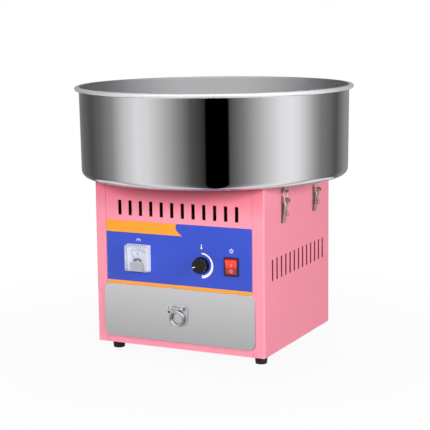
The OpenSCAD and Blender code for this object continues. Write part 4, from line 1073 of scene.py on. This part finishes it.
def dome(name, radius, height):
    """A rivet head, in millimetres: a low dome on its own flat base, which stands on Z = 0."""
    mesh = bmesh.new()
    bmesh.ops.create_uvsphere(mesh, u_segments=20, v_segments=10, radius=MM)
    bmesh.ops.bisect_plane(mesh, geom=mesh.verts[:] + mesh.edges[:] + mesh.faces[:], plane_co=(0, 0, 0),
                           plane_no=(0, 0, -1), clear_outer=True)
    bmesh.ops.contextual_create(mesh, geom=[edge for edge in mesh.edges if edge.is_boundary])
    bmesh.ops.scale(mesh, vec=(radius, radius, height), verts=mesh.verts)
    return new_object(name, mesh)


def on_plate(*places):
    """Places in millimetres on the plate behind the ring pull, which face the front."""
    return [((x * MM, PLATE_FACE, z * MM), (0, -1, 0)) for x, z in places]


def set_rivets(name, finish, places, part, seed, body):
    """Sets one rivet on each place."""
    put(on_places.make(name, finish, mesh_of_places(name + "_places", places), Part=part, Spin=1.0,
                       Seed=seed), body)
    print(name, len(places))


rivet_part = dome("rivet_shape", *RIVET)
stud_part = dome("stud_shape", *STUD)
dark_chrome = shade("dark_chrome", colour(96, 96, 98), 0.2, 1.0, drift=0.1)
latch_rivets = [((side * LATCH_FACE, end * LATCH_Y, LATCH_RIVET_Z), (side, 0, 0))
                for side in (-1, 1) for end in (-1, 1)]
set_rivets("latch_rivets", latch_zinc.material, latch_rivets, rivet_part, 1, "cabinet")
set_rivets("pull_rivets", chrome.material, on_plate((16.5, 93.5), (-14.6, 66.5), (14.6, 66.5)),
           rivet_part, 2, "drawer")
set_rivets("pull_studs", dark_chrome, on_plate((-16.0, 95.2), (-18.0, 87.8)), stud_part, 5, "drawer")
drop(rivet_part, stud_part)

# %% [markdown]
# ## Ribs
#
# Caps that are turned by hand have ribs for the fingers, and castings have ribs that stiffen them or
# shed heat. All of them are the same recipe with other numbers. The turn of a ring is given as three
# angles: the fittings on the rear panel face backwards, so their rings are tipped over by a quarter turn.

# %% Add ribs to the fittings, the motor and the spinner head
REAR = (math.radians(-90), 0, 0)
UPRIGHT = (0, 0, 0)
# Name, body, slot, how many, ring radius, size of a rib, middle of the ring in millimetres, and its turn
rib_rings = [
    ("gland_ribs", "cabinet", "black_plastic", 14, 12.0, (1.0, 1.3, 7.0), (-120, 167.0, 150), REAR),
    ("fuse_cap_ribs", "cabinet", "black_plastic", 18, 7.0, (0.9, 0.9, 5.0), (-80, 162.4, 150), REAR),
    ("motor_ribs", "cabinet", "cast_aluminium", 12, 27.0, (18.0, 2.0, 3.0), (0, 95, 236.6), UPRIGHT),
    ("housing_ribs", "cabinet", "cast_aluminium", 8, 30.0, (13.0, 3.0, 9.0), (0, 0, 311.2), UPRIGHT),
    ("lid_ribs", "spinner", "cast_aluminium", 16, 42.0, (22.0, 1.4, 1.2), (0, 0, 382.3), UPRIGHT),
]
for name, body, slot, count, radius, rib, place, turn in rib_rings:
    made = ribs_round.make(name, finishes[slot], edge=0.25, Count=count, Radius=radius * MM,
                           Rib=[c * MM for c in rib], Place=[c * MM for c in place], Facing=turn)
    put(made, body)
print("rings of ribs:", len(rib_rings))

# %% [markdown]
# ## The heater ribbon
#
# The sugar melts on a thin alloy ribbon that stands round the inside of the spinner head. It is
# corrugated, so that it can grow when it glows. Its shape follows a rule, a sine wave wound round a
# circle, so it comes from the third recipe and takes the place of the plain ring in the CAD.

# %% Wind the heater ribbon
heater = ribbon.make("heater_ribbon_wound", finishes["heater_alloy"], Radius=50.5 * MM, Wave=0.3 * MM,
                     Waves=90, Thickness=0.35 * MM, Height=20 * MM, Rise=360 * MM)
put(heater, "spinner", ["heater_element"])
print("faces of the ribbon:", len(heater.data.polygons))

# %% [markdown]
# ## Print on the controls
#
# A dial is read by its numbers, and a knob by its pointer. Both are thin raised print, so they are real
# meshes. A text object is made a mesh first and turned upright afterwards.

# %% Put numbers on the dial and a pointer on the knob
DIAL_FACE = -0.16071
NUMBER_RADIUS = ARC_RADIUS + 0.0042
NUMBER_SIZE = 0.0026
UNIT_SIZE = 0.0052
PRINT_THICK = 0.00003
KNOB_X = 0.0485
KNOB_Z = 0.179
KNOB_FACE = -0.1719
POINTER_ANGLE = math.radians(196)
# The pointer lies along the knob's radius, in millimetres from its middle
POINTER_LOW = (6.2, -0.75, 0)
POINTER_HIGH = (11.7, 0.75, 0.25)


def printed(word, size, across, up, face):
    """A word as a thin mesh that faces the front, in metres."""
    letters = bpy.data.curves.new("letters", "FONT")
    letters.body = word
    letters.size = size
    letters.extrude = PRINT_THICK
    letters.align_x = "CENTER"
    letters.align_y = "CENTER"
    helper = bpy.data.objects.new("letters", letters)
    scene.collection.objects.link(helper)
    data = bpy.data.meshes.new_from_object(helper.evaluated_get(bpy.context.evaluated_depsgraph_get()))
    drop(helper)
    data.transform(Matrix.Translation((across, face, up)) @ Matrix.Rotation(math.pi / 2, 4, "X"))
    return data


def join_meshes(name, meshes, finish):
    """One object from several meshes."""
    mesh = bmesh.new()
    for data in meshes:
        mesh.from_mesh(data)
    bmesh.ops.remove_doubles(mesh, verts=mesh.verts, dist=JOIN / 4)
    made = new_object(name, mesh, finish)
    made.data.shade_flat()
    return made


numbers = []
for i, word in enumerate(("0", "50", "100", "150", "200", "250")):
    a = ARC_HALF_ANGLE * (i / 2.5 - 1)
    across = METER_X + math.sin(a) * NUMBER_RADIUS
    numbers.append(printed(word, NUMBER_SIZE, across, PIVOT_Z + math.cos(a) * NUMBER_RADIUS, DIAL_FACE))
print("numbers on the dial:", len(numbers))
numbers.append(printed("V", UNIT_SIZE, METER_X, UNIT_Z, DIAL_FACE))
ink = shade("dial_ink", colour(58, 64, 78), 0.5, drift=0.02)
put(join_meshes("dial_numbers", numbers, ink), "cabinet")

pointer = bmesh.new()
add_box(pointer, POINTER_LOW, POINTER_HIGH)
pointer_white = shade("pointer_white", colour(240, 240, 242), 0.4, drift=0.02)
pointer_mark = new_object("knob_pointer", pointer, pointer_white)
upright = Matrix.Translation((KNOB_X, KNOB_FACE, KNOB_Z)) @ Matrix.Rotation(math.pi / 2, 4, "X")
pointer_mark.data.transform(upright @ Matrix.Rotation(POINTER_ANGLE, 4, "Z"))
pointer_mark.data.shade_flat()
put(pointer_mark, "knob")

# %% [markdown]
# ## The circuit board's small parts
#
# A regulator board carries rows of resistors beside its large parts. Each is a small barrel that lies
# on the board, and the first recipe sets them in rows.

# %% Populate the board
# All in millimetres
BARREL_RADIUS = 1.1
BARREL_LENGTH = 5.6
BARREL_AXIS = 1.3
RESISTORS_FROM = (-54, 206)
RESISTOR_STEP = (7.5, 6)
IN_EACH_WAY = 4

lying = Matrix.Translation((0, 0, BARREL_AXIS * MM)) @ Matrix.Rotation(math.pi / 2, 4, "Y")
barrel = bmesh.new()
bmesh.ops.create_cone(barrel, cap_ends=True, segments=12, radius1=BARREL_RADIUS * MM,
                      radius2=BARREL_RADIUS * MM, depth=BARREL_LENGTH * MM, matrix=lying)
barrel_part = new_object("resistor_shape", barrel)
resistors = []
for row in range(IN_EACH_WAY):
    for column in range(IN_EACH_WAY):
        along = RESISTORS_FROM[0] + RESISTOR_STEP[0] * column
        up = RESISTORS_FROM[1] + RESISTOR_STEP[1] * row
        resistors.append(((BOARD_FACE, along * MM, up * MM), (1, 0, 0)))

striped = Finish("resistor_bands", colour(206, 176, 128), 0.4)
stripes = striped.y.nearest(0.0019).below(0.0004, 0.0001)
striped.link("Base Color", striped.blend(stripes, colour(206, 176, 128), colour(120, 40, 30)))
striped.wear(0.4, 0.05)
put(on_places.make("board_resistors", striped.material, mesh_of_places("resistor_places", resistors),
                   Part=barrel_part, Spin=0.0, Seed=3), "cabinet")
drop(barrel_part)
print("resistors:", len(resistors))

# %% [markdown]
# ## The bowl
#
# The bowl is round all the way, so its whole form is one cross-section turned round the spindle's axis.
# A polished surface shows every facet, which is why it is made here as a fine lathe and isn't copied
# from the CAD mesh. The rim is a rolled bead that tucks back against the straight wall.

# %% Draw the bowl's cross-section
# All in millimetres, above the bowl's underside
CORNER = (237, 13)
CORNER_IN = 11.8
CORNER_OUT = 13.0
BEAD = (256.2, 163.2)
BEAD_RADIUS = 3.8


def arc_points(centre, radius, start, stop, count):
    """Points on a circle from one angle to another, in degrees."""
    for i in range(count + 1):
        a = math.radians(start + (stop - start) * i / count)
        yield centre[0] + radius * math.cos(a), centre[1] + radius * math.sin(a)


# From the collar round the middle hole, out along the bottom and up the wall
inside_profile = [
    (80.0, 11.5), *arc_points((80.6, 11.4), 0.6, 180, 0, 6), (81.2, 10.5), (81.2, 3.6),
    *arc_points((83.6, 3.6), 2.4, 180, 270, 5), (84.5, 1.2), (150, 1.2), (230, 1.2), (236, 1.2),
    *arc_points(CORNER, CORNER_IN, -88, 0, 14), (248.82, 14), (249.6, 80), (250.3, 150), (250.45, 164.8),
    *arc_points((252.1, 165.2), 1.65, 180, 90, 6), (254, 166.95),
]
# Round the bead, down the wall and back along the bottom
outside_profile = [
    *arc_points(BEAD, BEAD_RADIUS, 90, -135, 26), (252.9, 160.0), (252.3, 159.3), (251.9, 158.3),
    (251.7, 156.8), (250.8, 80), (250.02, 14), *arc_points(CORNER, CORNER_OUT, 0, -88, 14), (236, 0),
    (230, 0), (150, 0), (82, 0), (80.8, 0.0), (80.3, 0.2), (80.0, 0.8), (80.0, 3), (80.0, 10.5),
]
profile = [(r, z + BOWL_Z) for r, z in inside_profile + outside_profile]
print("points in the cross-section:", len(profile))

# %% Turn the bowl
STEPS_ROUND = 256
# The inside profile ends on the bead, and its last points there are polished as the outside is
POLISHED_INSIDE = 4


def lathe(name, profile, first_outside, materials):
    """Turns a closed cross-section round Z. Faces from first_outside on take the second material."""
    mesh = bmesh.new()
    rings = []
    for i in range(STEPS_ROUND):
        a = math.tau * i / STEPS_ROUND
        rings.append([mesh.verts.new((r * MM * math.cos(a), r * MM * math.sin(a), z * MM))
                      for r, z in profile])
    for i, here in enumerate(rings):
        after = rings[(i + 1) % STEPS_ROUND]
        for j in range(len(profile)):
            k = (j + 1) % len(profile)
            face = mesh.faces.new((here[j], after[j], after[k], here[k]))
            face.material_index = int(j >= first_outside)
    bmesh.ops.recalc_face_normals(mesh, faces=mesh.faces)
    return new_object(name, mesh, *materials)


bowl = lathe("spun_bowl", profile, len(inside_profile) - POLISHED_INSIDE,
             [soft_steel.material, mirror_steel.material])
put(bowl, "bowl", ["bowl"])
print("bowl faces:", len(bowl.data.polygons))

# %% [markdown]
# ## Measure the size
#
# The dressed model is measured against the CAD box.

# %% Measure the size
final_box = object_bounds()
growth = (final_box[1] - final_box[0]) - (cad_box[1] - cad_box[0])
print("grew by", [round(side / MM, 2) for side in growth], "mm")
